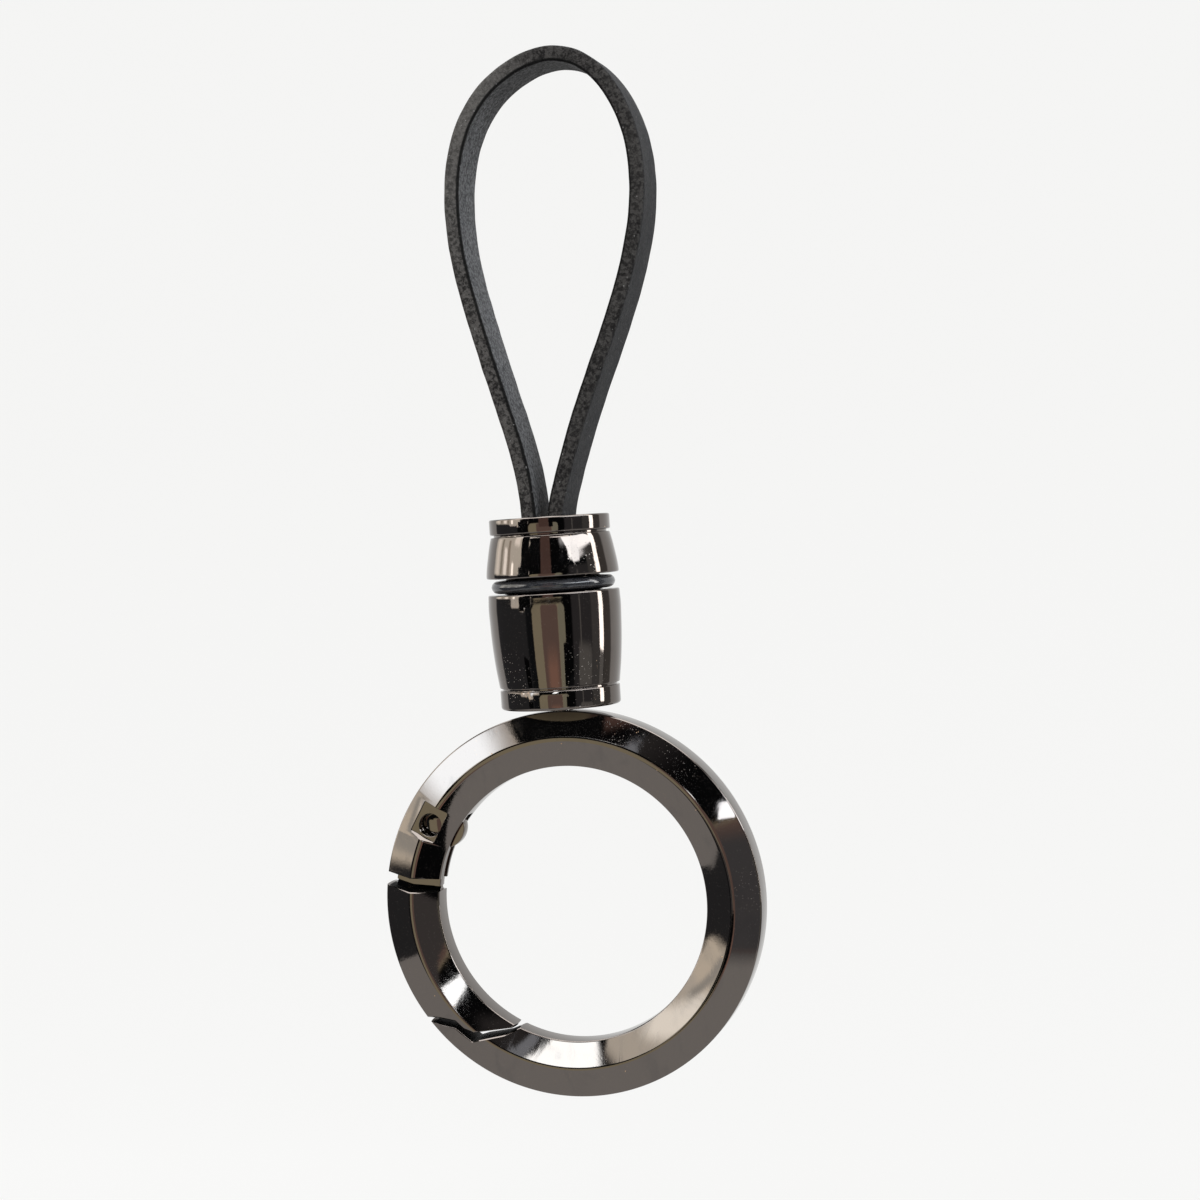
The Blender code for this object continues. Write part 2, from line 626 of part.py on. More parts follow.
def build_gate(blank, parent):
    """The gate, about its hinge: a stretch of the blank joined to the tongue."""
    pin_x, pin_z = polar(HINGE_RADIUS, HINGE_DEGREES)
    to_hinge = Matrix.Translation((-pin_x, 0.0, -pin_z))
    mesh = blank.copy()
    mesh.transform(to_hinge)
    gate = add_object("gate", mesh, part_group, black_nickel, parent)
    deep = RING_RIDGE_WIDTH / 2 + OVERRUN
    keep = plate("gate_stretch", opening(GATE_SHOULDER_SHARES, GATE_NOSE_SHARES), deep)
    keep.transform(to_hinge)
    cut(gate, add_object("gate_stretch", keep, cutter_group, parent=parent), "INTERSECT")
    tongue = plate("gate_tongue", tongue_outline(), TONGUE_WIDTH / 2)
    tongue.transform(to_hinge)
    cut(gate, add_object("gate_tongue", tongue, cutter_group, parent=parent), "UNION")
    hole = rod("tongue_hole", PIN_RADIUS + RUNNING_CLEARANCE, deep, -deep, cutter_group,
               parent=parent)
    hole.rotation_euler = (math.radians(90.0), 0.0, 0.0)
    cut(gate, hole)
    recess = rod("spring_recess", SPRING_RECESS_RADIUS, deep, 0.0, cutter_group, parent=parent,
                 steps=TURNED_STEPS)
    recess.rotation_euler = (math.radians(-90.0), 0.0, 0.0)
    cut(gate, recess)
    groove_length = SPRING_GATE_LEG + SPRING_RADIUS
    groove = box("spring_groove", (SPRING_GROOVE_WIDTH, deep, groove_length), cutter_group)
    groove.parent = parent
    leg_degrees = HINGE_DEGREES + 90.0
    across = polar(SPRING_RADIUS, leg_degrees + 90.0)
    along = polar(groove_length / 2, leg_degrees)
    groove.location = (across[0] + along[0], deep / 2, across[1] + along[1])
    groove.rotation_euler = (0.0, math.radians(90.0 - leg_degrees), 0.0)
    cut(gate, groove)


def build_hinge(parent):
    """The gate's pin and the coil spring round it."""
    front = POCKET_FLOOR - PIN_FRONT_RECESS
    back = POCKET_FLOOR - PIN_BACK_RECESS
    pin = rod("gate_pin", PIN_RADIUS, front, -back, part_group, black_nickel, parent)
    pin.rotation_euler = (math.radians(90.0), 0.0, 0.0)
    leg_degrees = HINGE_DEGREES + 90.0
    start = leg_degrees + 90.0 - 360.0
    end = SPRING_BODY_DEGREES - 90.0
    turns = SPRING_TURNS + (end - start) / 360.0
    rise = turns * SPRING_PITCH
    # The coil lies between the recess's floor and the slot's rear wall
    first = (SLOT_WIDTH / 2 - rise) / 2
    count = int(turns * SMALL_STEPS)
    points = []
    for i in range(count + 1):
        x, z = polar(SPRING_RADIUS, start + 360.0 * turns * i / count)
        points.append((x, first + rise * i / count, z))
    gate_leg = polar(SPRING_GATE_LEG, leg_degrees, (points[0][0], points[0][2]))
    body_leg = polar(SPRING_BODY_LEG, SPRING_BODY_DEGREES, (points[-1][0], points[-1][2]))
    points = [(gate_leg[0], first, gate_leg[1])] + points + [(body_leg[0], first + rise, body_leg[1])]
    wire("gate_spring", points, SPRING_WIRE_RADIUS, steel, parent)


clear_scene()
part_group = collection("strap_key_holder")
cutter_group = collection("cutters")
black_nickel = material("black_nickel", (0.11, 0.10, 0.10), 0.12, 1.0)
leather = material("leather", (0.06, 0.06, 0.065), 0.65, 0.0)
rubber = material("rubber", (0.03, 0.03, 0.032), 0.55, 0.0)
steel = material("steel", (0.45, 0.44, 0.42), 0.3, 1.0)
brass = material("brass", (0.62, 0.47, 0.22), 0.35, 1.0)

barrel_axis = empty("barrel_axis", (-LOOP_LEAN, 0.0, COLLAR_TOP))
ring_swivel = empty("ring_swivel", (0.0, 0.0, RING_CENTRE), barrel_axis)
hinge_x, hinge_z = polar(HINGE_RADIUS, HINGE_DEGREES)
gate_hinge = empty("gate_hinge", (hinge_x, 0.0, hinge_z), ring_swivel)

build_strap(barrel_axis)
build_ferrule(barrel_axis)
build_collar(barrel_axis)
build_rubber_ring(barrel_axis)
build_barrel(barrel_axis)
build_swivel(barrel_axis)
ring_mesh = ring_blank()
build_ring(ring_mesh, ring_swivel)
build_gate(ring_mesh, gate_hinge)
build_hinge(gate_hinge)
bpy.data.meshes.remove(ring_mesh)

strap_line = smooth_path(loop_knots(), STRAP_STEPS)
strap_length = sum(math.dist(a, b) for a, b in zip(strap_line, strap_line[1:]))
print(f"barrel axis x {-LOOP_LEAN:.5f}, collar top z {COLLAR_TOP:.5f}")
print(f"ring centre z {RING_CENTRE + COLLAR_TOP:.5f}, strap length {strap_length:.4f}")
print(f"gate hinge x {hinge_x - LOOP_LEAN:.6f} z {hinge_z + RING_CENTRE + COLLAR_TOP:.6f}")
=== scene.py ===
import math

import bmesh
import bpy
import numpy as np
from mathutils import Matrix, Vector, noise


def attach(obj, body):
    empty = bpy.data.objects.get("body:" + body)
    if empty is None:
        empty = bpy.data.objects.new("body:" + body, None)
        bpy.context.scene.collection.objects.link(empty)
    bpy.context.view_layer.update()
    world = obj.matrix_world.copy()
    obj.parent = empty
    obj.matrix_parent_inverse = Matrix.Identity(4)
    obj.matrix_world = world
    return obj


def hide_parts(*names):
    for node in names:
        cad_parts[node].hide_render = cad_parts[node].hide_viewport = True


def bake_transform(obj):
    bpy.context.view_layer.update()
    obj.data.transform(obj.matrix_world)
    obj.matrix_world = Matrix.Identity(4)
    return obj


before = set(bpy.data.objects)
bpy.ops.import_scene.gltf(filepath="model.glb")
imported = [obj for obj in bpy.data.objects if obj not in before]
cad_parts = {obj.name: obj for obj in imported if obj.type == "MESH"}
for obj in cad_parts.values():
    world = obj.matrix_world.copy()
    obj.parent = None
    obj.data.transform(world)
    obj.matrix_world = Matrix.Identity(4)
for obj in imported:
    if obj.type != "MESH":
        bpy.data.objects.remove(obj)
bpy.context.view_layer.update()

# Everything is in metres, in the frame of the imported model: +Z up, the front towards -Y.
scene = bpy.context.scene
scene.view_settings.view_transform = "Standard"
scene.view_settings.look = "None"

camera = {
    "place": (0.05498, -0.20887, -0.04141),
    "turn": (88.2612, 3.7489, 14.3915),
    "lens": 72.0,
    "sensor": 36.0,
}

lens = bpy.data.cameras.new("camera")
lens.lens = camera["lens"]
lens.sensor_width = camera["sensor"]
lens.clip_start = 0.01
lens.clip_end = 20.0
seen = bpy.data.objects.new("camera", lens)
seen.location = camera["place"]
seen.rotation_euler = [math.radians(a) for a in camera["turn"]]
scene.collection.objects.link(seen)
scene.camera = seen
print("camera placed")


def operator(operation, swapped=False):
    # A method of Signal that adds one Math node
    def work(self, other):
        return self.calc(operation, *((other, self) if swapped else (self, other)))
    return work


class Signal:
    # An output socket that Python's operators can work on
    def __init__(self, tree, made=None, output=0):
        self.tree = tree
        self.made = made
        self.output = output

    def out(self, name):
        return Signal(self.tree, self.made, name)

    def node(self, kind, settings=None, sockets=None, output=0):
        # Any node, from its type, its settings and the values or links of its sockets
        made = self.tree.nodes.new("ShaderNode" + kind)
        for name, value in (settings or {}).items():
            setattr(made, name, value)
        for name, value in (sockets or {}).items():
            if isinstance(value, Signal):
                self.tree.links.new(value.made.outputs[value.output], made.inputs[name])
            else:
                made.inputs[name].default_value = value
        return Signal(self.tree, made, output)

    def calc(self, operation, *values):
        return self.node("Math", {"operation": operation}, dict(enumerate(values)))

    __add__ = __radd__ = operator("ADD")
    __sub__, __rsub__ = operator("SUBTRACT"), operator("SUBTRACT", True)
    __mul__ = __rmul__ = operator("MULTIPLY")
    __truediv__ = operator("DIVIDE")
    __pow__ = operator("POWER")
    least, most = operator("MINIMUM"), operator("MAXIMUM")

    def __neg__(self):
        return self * -1.0

    def size(self):
        return self.calc("ABSOLUTE", self)

    def step(self, start, end, low=0.0, high=1.0):
        # A soft step from low to high as the value goes from start to end
        return self.node("MapRange", {"interpolation_type": "SMOOTHSTEP"},
                         {0: self, 1: start, 2: end, 3: low, 4: high})

    def fade(self, start, end, high=1.0):
        # A soft step down to nothing
        return self.step(start, end, high, 0.0)

    def blend(self, a, b):
        # Colours a and b mixed by this signal
        return self.node("Mix", {"data_type": "RGBA"}, {0: self, 6: a, 7: b}, 2)

    def scaled(self, amounts):
        return self.node("VectorMath", {"operation": "MULTIPLY"}, {0: self, 1: amounts})

    def distance(self, spot):
        return self.node("VectorMath", {"operation": "DISTANCE"}, {0: self, 1: spot}, "Value")

    def bump(self, strength, depth):
        return self.node("Bump", None, {"Strength": strength, "Distance": depth, "Height": self})


def rgb(*values):
    return (*values, 1.0)


def newMaterial(name):
    # A material, its Principled shader, and the surface's own place as a signal
    made = bpy.data.materials.new(name)
    made.use_nodes = True
    tree = made.node_tree
    return made, tree.nodes["Principled BSDF"], Signal(tree).node("TexCoord").out("Object")


def feed(shader, **links):
    for name, value in links.items():
        socket = shader.inputs[name.replace("_", " ")]
        value.tree.links.new(value.made.outputs[value.output], socket)


def fixed(shader, values):
    for name, value in values.items():
        shader.inputs[name].default_value = value


def noiseOf(place, scale, detail=2.0, roughness=0.5, distortion=0.0):
    return place.node("TexNoise", None, {
        "Vector": place, "Scale": scale, "Detail": detail, "Roughness": roughness,
        "Distortion": distortion}).out("Fac")


def cellsOf(place, scale):
    return place.node("TexVoronoi", {"feature": "F1"}, {"Vector": place, "Scale": scale})


def cellShade(cells, part):
    # A value that differs from cell to cell
    return cells.node("SeparateColor", None, {0: cells.out("Color")}).out(part)


leatherLook = {
    "face": rgb(0.134, 0.136, 0.140),
    "faceDark": rgb(0.018, 0.018, 0.02),
    "grain": rgb(0.036, 0.0375, 0.04),
    "cut": rgb(0.064, 0.06, 0.057),
    "cutDark": rgb(0.007, 0.0065, 0.0065),
    "cutPale": rgb(0.120, 0.114, 0.107),
    "seam": rgb(0.003, 0.003, 0.003),
    "fleck": rgb(0.24, 0.235, 0.23),
    "grainScale": 5200.0, "mottleScale": 3300.0, "fibreScale": 9500.0,
    "broadScale": 330.0, "fleckScale": 2300.0, "rough": 0.72, "roughSpread": 0.30,
    "edgeRough": 0.22, "shine": 0.12, "bump": 0.8, "bumpDepth": 0.0001,
    "halfWidth": 0.0026,
    # Painted light and shade: the cut edge is paler up the left leg, and all is darker over to the
    # right
    "paleUp": (-0.022, 0.004),
    "paleLeft": (-0.006, 0.0),
    "darkRight": (-0.008, 0.001),
    "paintedSideLight": 0.45,
}


def makeLeather():
    look = leatherLook
    made, shader, place = newMaterial("leather")
    pebble = cellsOf(place, look["grainScale"]).out("Distance").step(0.05, 0.75)
    mottle = noiseOf(place, look["mottleScale"], 4.0, 0.6, 0.3)
    fibre = noiseOf(place.scaled((1.0, 0.5, 1.0)), look["fibreScale"], 3.0, 0.65)
    broad = noiseOf(place, look["broadScale"], 3.0, 0.6).step(0.30, 0.75)
    parts = place.node("SeparateXYZ", None, {0: place})
    across = parts.out("Y").size() / look["halfWidth"]
    edge = across.step(0.90, 0.965)
    rim, grain = (place.node("Attribute", {"attribute_name": name}).out("Fac")
                  for name in ("rimLine", "grainSide"))
    # The grain side and the flesh side have dark creases; the cut edge has fibres, pale and dark
    face = grain.blend(look["face"], look["grain"])
    face = (mottle.step(0.35, 0.65) * 0.7 + pebble * 0.3).blend(face, look["faceDark"])
    cut = mottle.step(0.38, 0.62).blend(look["cut"], look["cutDark"])
    cut = (fibre.step(0.55, 0.75) * 0.6).blend(cut, look["cutPale"])
    colour = edge.blend(face, cut)
    # Painted light on the cut edge up the left leg, then painted shade over to the right
    paintedLightLeft = parts.out("Z").step(*look["paleUp"]) * parts.out("X").fade(*look["paleLeft"]) * edge
    colour = (broad * 0.12 + paintedLightLeft * look["paintedSideLight"]).least(1.0).blend(colour, look["cutPale"])
    shadow = parts.out("X").step(*look["darkRight"]) * look["paintedSideLight"]
    colour = shadow.blend(colour, look["cutDark"])
    colour = (rim * 0.95).blend(colour, look["seam"])
    flecks = cellsOf(place, look["fleckScale"])
    lone = cellShade(flecks, "Red").step(0.80, 0.84)
    dots = (1.0 - flecks.out("Distance").step(0.06, 0.16)) * lone
    colour = (dots * 0.7).blend(colour, look["fleck"])
    rough = look["rough"] + look["roughSpread"] * (mottle - 0.5) + edge * look["edgeRough"]
    bump = (mottle * 0.5 - pebble * 0.35 + fibre * 0.4).bump(look["bump"], look["bumpDepth"])
    feed(shader, Base_Color=colour, Roughness=rough.least(1.0), Normal=bump)
    fixed(shader, {"Specular IOR Level": look["shine"]})
    return made


nickelLook = {
    "base": rgb(0.142, 0.125, 0.114),
    "smear": rgb(0.120, 0.108, 0.101),
    "dust": rgb(0.22, 0.195, 0.175),
    "glint": rgb(0.60, 0.36, 0.19),
    # Painted shade, near black, on the walls in the gaps and pockets: the ring's middle, the radii
    # that they lie between, the pin's place and the bright ring round it, and how far they face
    # sideways
    "paintedGapShade": rgb(0.005, 0.005, 0.005),
    "middle": (-0.0033, -0.07517),
    "between": (0.01265, 0.01275, 0.0172, 0.0173),
    "hinge": (-0.016073, -0.067556),
    "clear": (0.0013, 0.0014),
    "sideways": (0.08, 0.28),
    "rough": 0.04, "smearRough": 0.09, "dustRough": 0.5, "paintedGapShadeRough": 0.6,
    "smearScale": 420.0, "fineScale": 5200.0, "patchScale": 700.0, "crumbScale": 1150.0,
    "raggedScale": 6000.0, "ragged": 0.00012,
    # Dots of dust: scale, inner and outer edge, and rarity
    "specks": ((4300.0, 0.10, 0.28, 0.20), (2100.0, 0.05, 0.14, 0.50)),
    "bump": 0.10, "bumpDepth": 0.00003,
    # How much dust there is all over, and where it sits thicker: place, reach and amount
    "thin": 0.08,
    "dusty": (((-0.007, -0.005, -0.0545), 0.0035, 0.9), ((0.001, -0.0052, -0.0545), 0.0036, 1.0),
              ((0.0008, -0.0045, -0.044), 0.0028, 0.55), ((0.003, -0.0014, -0.059), 0.0032, 0.6),
              ((0.008, -0.0014, -0.062), 0.003, 0.4), ((0.0138, -0.0014, -0.074), 0.0026, 0.4)),
}


def farFrom(place, spot):
    # How far the place is from a line along Y
    return place.scaled((1.0, 0.0, 1.0)).distance((spot[0], 0.0, spot[1]))


def makeNickel():
    look = nickelLook
    made, shader, place = newMaterial("black_nickel")
    smear = noiseOf(place.scaled((1.0, 1.0, 0.6)), look["smearScale"], 4.0, 0.6, 0.8)
    smear = smear.step(0.50, 0.72)
    fine = noiseOf(place, look["fineScale"], 3.0, 0.7)
    near = look["thin"]
    for spot, reach, amount in look["dusty"]:
        near = place.distance(spot).fade(reach * 0.3, reach, amount) + near
    patches = noiseOf(place, look["patchScale"], 3.0, 0.6).step(0.30, 0.55) * near
    ragged = place.node("TexNoise", None, {"Vector": place, "Scale": look["raggedScale"],
                                           "Detail": 2.0}).out("Color")
    ragged = place.node("VectorMath", {"operation": "MULTIPLY_ADD"},
                        {0: ragged, 1: (look["ragged"],) * 3, 2: place})
    dots = None
    for scale, inner, outer, rarity in look["specks"]:
        flecks = cellsOf(ragged, scale)
        lone = cellShade(flecks, "Red").step(rarity, rarity + 0.25)
        spots = flecks.out("Distance").fade(inner, outer) * lone
        dots = spots if dots is None else dots.most(spots)
    crumbs = cellsOf(place, look["crumbScale"])
    rare = cellShade(crumbs, "Green")
    lonely = crumbs.out("Distance").fade(0.04, 0.08) * rare.step(0.90, 0.91)
    dots = (dots * patches).most(lonely * 0.6).least(1.0)
    colour = (smear * 0.6).blend(look["base"], look["smear"])
    colour = dots.blend(colour, rare.step(0.88, 0.90).blend(look["dust"], look["glint"]))
    # Painted shade: the walls inside the gap, the slot and the pockets are darkened to near black
    away = farFrom(place, look["middle"])
    paintedGapShade = away.step(*look["between"][:2]) * away.fade(*look["between"][2:])
    facing = place.node("SeparateXYZ", None, {0: place.out("Normal")}).out("Y").size()
    paintedGapShade = paintedGapShade * facing.fade(*look["sideways"])
    paintedGapShade = paintedGapShade * farFrom(place, look["hinge"]).step(*look["clear"])
    colour = paintedGapShade.blend(colour, look["paintedGapShade"])
    rough = (look["rough"] + look["smearRough"] * smear * fine + dots * look["dustRough"]
             + paintedGapShade * look["paintedGapShadeRough"]).least(1.0)
    bump = (smear * 0.35 + fine * 0.2 + dots).bump(look["bump"], look["bumpDepth"])
    feed(shader, Base_Color=colour, Roughness=rough, Metallic=1.0 - dots * 0.9, Normal=bump)
    return made


rubberLook = {
    "base": rgb(0.014, 0.0148, 0.0175),
    "dust": rgb(0.06, 0.063, 0.07),
    "dustScale": 900.0, "gritScale": 5200.0, "skinScale": 7000.0, "rough": 0.11,
    "shine": 0.6, "bump": 0.2, "bumpDepth": 0.00002,
}


def makeRubber():
    look = rubberLook
    made, shader, place = newMaterial("rubber")
    dust = noiseOf(place.scaled((1.0, 1.0, 2.5)), look["dustScale"], 4.0, 0.65).step(0.48, 0.80)
    grit = noiseOf(place, look["gritScale"], 3.0, 0.7).step(0.62, 0.80)
    colour = (dust * 0.3 + grit * 0.35).least(1.0).blend(look["base"], look["dust"])
    rough = look["rough"] + dust * 0.18 + grit * 0.3
    bump = noiseOf(place, look["skinScale"], 2.0).bump(look["bump"], look["bumpDepth"])
    feed(shader, Base_Color=colour, Roughness=rough, Normal=bump)
    fixed(shader, {"Specular IOR Level": look["shine"]})
    return made


brushedLook = {
    "lineScale": 9000.0, "stainScale": 700.0, "rough": 0.22, "bump": 0.2, "bumpDepth": 0.00002,
    "steel": (rgb(0.42, 0.41, 0.39), rgb(0.26, 0.25, 0.23), (1.0, 1.0, 0.05)),
    "spring_steel": (rgb(0.34, 0.33, 0.31), rgb(0.2, 0.19, 0.18), (1.0, 0.05, 1.0)),
    "brass": (rgb(0.55, 0.40, 0.18), rgb(0.30, 0.21, 0.10), (1.0, 1.0, 0.05)),
}


def makeBrushed(name):
    # Turned or drawn metal: fine lines one way, with a light tarnish
    look = brushedLook
    colour, tarnish, stretch = look[name]
    made, shader, place = newMaterial(name)
    lines = noiseOf(place.scaled(stretch), look["lineScale"], 3.0, 0.6)
    stain = noiseOf(place, look["stainScale"], 4.0, 0.6).step(0.45, 0.75)
    shade = (stain * 0.6).blend(colour, tarnish)
    rough = look["rough"] + lines * 0.2 + stain * 0.12
    bump = lines.bump(look["bump"], look["bumpDepth"])
    feed(shader, Base_Color=shade, Roughness=rough, Normal=bump)
    fixed(shader, {"Metallic": 1.0})
    return made


leather = makeLeather()
nickel = makeNickel()
rubber = makeRubber()
steel, springSteel, brass = (makeBrushed(name) for name in ("steel", "spring_steel", "brass"))
print("materials made")


def polar(radius, degrees, centre=(0.0, 0.0)):
    angle = math.radians(degrees)
    return (centre[0] + radius * math.cos(angle), centre[1] + radius * math.sin(angle))


def circle(radius, steps, centre):
    return [(centre[0] + radius * math.cos(2 * math.pi * k / steps),
             centre[1] + radius * math.sin(2 * math.pi * k / steps)) for k in range(steps)]


def arc(radius, start, end, steps, centre=(0.0, 0.0)):
    return [polar(radius, start + (end - start) * i / steps, centre) for i in range(steps + 1)]


def rounded(corners, steps=4, closed=False):
    # An outline of (x, y, corner radius) with each corner turned into an arc
    result = []
    for i, (x, y, radius) in enumerate(corners):
        here = Vector((x, y))
        if radius == 0.0 or not closed and i in (0, len(corners) - 1):
            result.append((x, y))
            continue
        a = Vector(corners[i - 1][:2]) - here
        b = Vector(corners[(i + 1) % len(corners)][:2]) - here
        half = a.angle(b) / 2
        reach = min(radius / math.tan(half), 0.48 * min(a.length, b.length))
        start = here + a.normalized() * reach
        end = here + b.normalized() * reach
        for k in range(steps + 1):
            t = k / steps
            # A conic with the arc's own weight stays within the corner
            parts = ((1 - t) ** 2, 2 * t * (1 - t) * math.sin(half), t * t)
            point = (start * parts[0] + here * parts[1] + end * parts[2]) / sum(parts)
            result.append(tuple(point))
    return result


def smoothLine(knots, count):
    # Even points along the natural cubic through knots
    knots = np.array(knots, float)
    steps = np.linalg.norm(np.diff(knots, axis=0), axis=1)
    along = np.concatenate(([0.0], np.cumsum(steps)))
    size = len(knots)
    matrix = np.eye(size)
    right = np.zeros_like(knots)
    for i in range(1, size - 1):
        matrix[i, i - 1:i + 2] = steps[i - 1] / 6, (steps[i - 1] + steps[i]) / 3, steps[i] / 6
        right[i] = (knots[i + 1] - knots[i]) / steps[i] - (knots[i] - knots[i - 1]) / steps[i - 1]
    bends = np.linalg.solve(matrix, right)
    result = []
    for place in np.linspace(0.0, along[-1], count):
        i = min(int(np.searchsorted(along, place, side="right")) - 1, size - 2)
        a = (along[i + 1] - place) / steps[i]
        b = 1 - a
        bend = ((a**3 - a) * bends[i] + (b**3 - b) * bends[i + 1]) * steps[i] ** 2 / 6
        result.append(a * knots[i] + b * knots[i + 1] + bend)
    return np.array(result)


def meshObject(name, points, faces, finish):
    mesh = bpy.data.meshes.new(name)
    mesh.from_pydata([tuple(p) for p in points], [], faces)
    shape = bmesh.new()
    shape.from_mesh(mesh)
    bmesh.ops.recalc_face_normals(shape, faces=shape.faces)
    shape.to_mesh(mesh)
    shape.free()
    mesh.materials.append(finish)
    made = bpy.data.objects.new(name, mesh)
    scene.collection.objects.link(made)
    return made


def skin(loops, around=True, along=False):
    # Quads between loops of equal count; around closes each loop, along joins last to first
    count = len(loops[0])
    faces = []
    last = len(loops) if along else len(loops) - 1
    for i in range(last):
        for j in range(count if around else count - 1):
            a, b = i * count + j, i * count + (j + 1) % count
            c, d = (i + 1) % len(loops) * count + (j + 1) % count, (i + 1) % len(loops) * count + j
            faces.append((a, b, c, d))
    return faces


def loft(name, loops, finish, closed=False):
    # A mesh through loops of points, its ends capped or, when closed, joined to each other
    count = len(loops[0])
    points = [p for loop in loops for p in loop]
    faces = skin(loops, True, closed)
    if not closed:
        faces += [tuple(range(count)), tuple(range(len(points) - 1, len(points) - count - 1, -1))]
    return meshObject(name, points, faces, finish)


def prism(name, low, high, finish):
    # A solid between two outlines of equal count
    count = len(low)
    faces = [tuple(range(count)), tuple(range(2 * count - 1, count - 1, -1))]
    faces += [(i, (i + 1) % count, count + (i + 1) % count, count + i) for i in range(count)]
    return meshObject(name, low + high, faces, finish)


def crisp(piece, degrees=42.0):
    # Smooth faces with sharp edges kept, and flats that stay flat in a reflection
    piece.data.shade_smooth()
    piece.data.set_sharp_from_angle(angle=math.radians(degrees))
    weigh = piece.modifiers.new("weighted", "WEIGHTED_NORMAL")
    weigh.keep_sharp = True
    weigh.weight = 100


def applied(piece):
    # Its modifiers applied
    bpy.context.view_layer.update()
    graph = bpy.context.evaluated_depsgraph_get()
    old = piece.data
    mesh = bpy.data.meshes.new_from_object(piece.evaluated_get(graph))
    piece.modifiers.clear()
    piece.data = mesh
    mesh.name = piece.name
    bpy.data.meshes.remove(old)
    return piece


def carve(piece, tools, operation="DIFFERENCE"):
    # Cut or join with tools, which are then removed
    for tool in tools:
        change = piece.modifiers.new(tool.name, "BOOLEAN")
        change.operation = operation
        change.solver = "EXACT"
        change.object = tool
    applied(piece)
    for tool in tools:
        bpy.data.meshes.remove(tool.data)
    shape = bmesh.new()
    shape.from_mesh(piece.data)
    bmesh.ops.remove_doubles(shape, verts=shape.verts, dist=0.000001)
    bmesh.ops.dissolve_degenerate(shape, edges=shape.edges, dist=0.000001)
    shape.to_mesh(piece.data)
    shape.free()
    return piece


def lathe(name, outline, steps, finish, centre=(0.0, 0.0, 0.0), solid=False):
    # A closed outline of (radius, height) turned about Z, or an open one with its ends capped
    loops = [[(x, y, centre[2] + height) for x, y in circle(radius, steps, centre)]
             for radius, height in outline]
    return loft(name, loops, finish, not solid)


def plate(name, outline, low, high, finish, bevel=0.0):
    # An outline in the XZ plane between two depths along Y, its edges broken if asked
    made = prism(name, *([(x, y, z) for x, z in outline] for y in (low, high)), finish)
    if bevel:
        soft = made.modifiers.new("edges", "BEVEL")
        soft.width = bevel
        soft.segments = 3
        soft.limit_method = "ANGLE"
        soft.angle_limit = math.radians(50.0)
        applied(made)
    return made


strap = {
    "width": 0.0052, "thickness": 0.0014, "spacing": 0.00244, "tail": 0.0058,
    "height": 0.04085, "halfWidth": 0.00855, "lean": 0.0033,
    "shares": (
        (0.061, 0.186, 0.07), (0.242, 0.436, 0.24), (0.460, 0.791, 0.46),
        (0.585, 0.945, 0.56), (0.704, 1.000, 0.64), (0.808, 0.945, 0.69),
        (0.885, 0.805, 0.74), (0.942, 0.607, 0.82), (0.980, 0.365, 0.92),
    ),
    "swell": 0.00001, "outerRound": 0.00062, "innerRound": 0.0002, "lineDepth": 0.00003,
    "lineReach": 0.00023, "lineFade": 0.00005, "division": 0.00011, "steps": 460,
    "waver": 0.00003,
}
collarTop = strap["thickness"] / 2 - strap["height"]
axisX = -strap["lean"]


def strapKnots():
    leg = strap["spacing"] / 2
    left = [(-leg, -strap["tail"]), (-leg, -strap["tail"] / 2), (-leg, 0.0)]
    right = [(leg, z) for _, z in left]
    for height, half, lean in strap["shares"]:
        middle = lean * strap["lean"]
        left.append((middle - half * strap["halfWidth"], height * strap["height"]))
        right.append((middle + half * strap["halfWidth"], height * strap["height"]))
    return left + [(strap["lean"], strap["height"])] + right[::-1]


def divided(outline, step):
    # A closed outline with no side longer than a step
    result = []
    for a, b in zip(outline, outline[1:] + outline[:1]):
        parts = max(1, round(math.dist(a, b) / step))
        result += [(a[0] + (b[0] - a[0]) * k / parts, a[1] + (b[1] - a[1]) * k / parts)
                   for k in range(parts)]
    return result


def buildStrap():
    s = strap
    line = smoothLine(strapKnots(), s["steps"]) + (axisX, collarTop)
    thick, wide = s["thickness"] / 2, s["width"] / 2
    soft, tight = s["outerRound"], s["innerRound"]
    # The section is (outward, across): the loop's outer side has the rounder corners
    corners = [(thick, wide, soft), (0.0, wide + s["swell"], 0.0), (-thick, wide, tight),
               (-thick, 0.0, 0.0), (-thick, -wide, tight), (0.0, -wide - s["swell"], 0.0),
               (thick, -wide, soft), (thick, 0.0, 0.0)]
    section = divided(rounded(corners, 6, True), s["division"])
    ways = np.gradient(line, axis=0)
    ways /= np.linalg.norm(ways, axis=1)[:, None]
    # The sealed line along both inner corners
    marks = [max(0.0, min(1.0, (s["lineReach"] - math.dist((-thick, wide), (out, abs(across))))
                          / s["lineFade"])) for out, across in section]
    loops, rims, grains = [], [], []
    for (x, z), (dx, dz) in zip(line, ways):
        loop = []
        free = min(1.0, max(0.0, (z - collarTop) / 0.002))
        for (out, across), mark in zip(section, marks):
            layer = 3.1 if out > 0 else 0.0
            waver = noise.noise(Vector((x * 700, across * 500 + layer, z * 700)))
            off = out + mark * s["lineDepth"] + waver * s["waver"] * (out / thick) * free
            side = across + noise.noise(Vector((x * 900, z * 900, 7.0))) * s["waver"] * free
            loop.append((x - dz * off, side, z + dx * off))
        rims += marks
        grains += [1.0 if out > 0.0 else 0.0 for out, _ in section]
        loops.append(loop)
    made = loft("strap_leather", loops, leather)
    made.data.attributes.new("rimLine", "FLOAT", "POINT").data.foreach_set("value", rims)
    made.data.attributes.new("grainSide", "FLOAT", "POINT").data.foreach_set("value", grains)
    crisp(made, 50.0)
    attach(made, "holder")
    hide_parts("strap")
    length = np.linalg.norm(np.diff(line, axis=0), axis=1).sum()
    print(f"strap built, {length * 1000:.1f} mm long")


buildStrap()


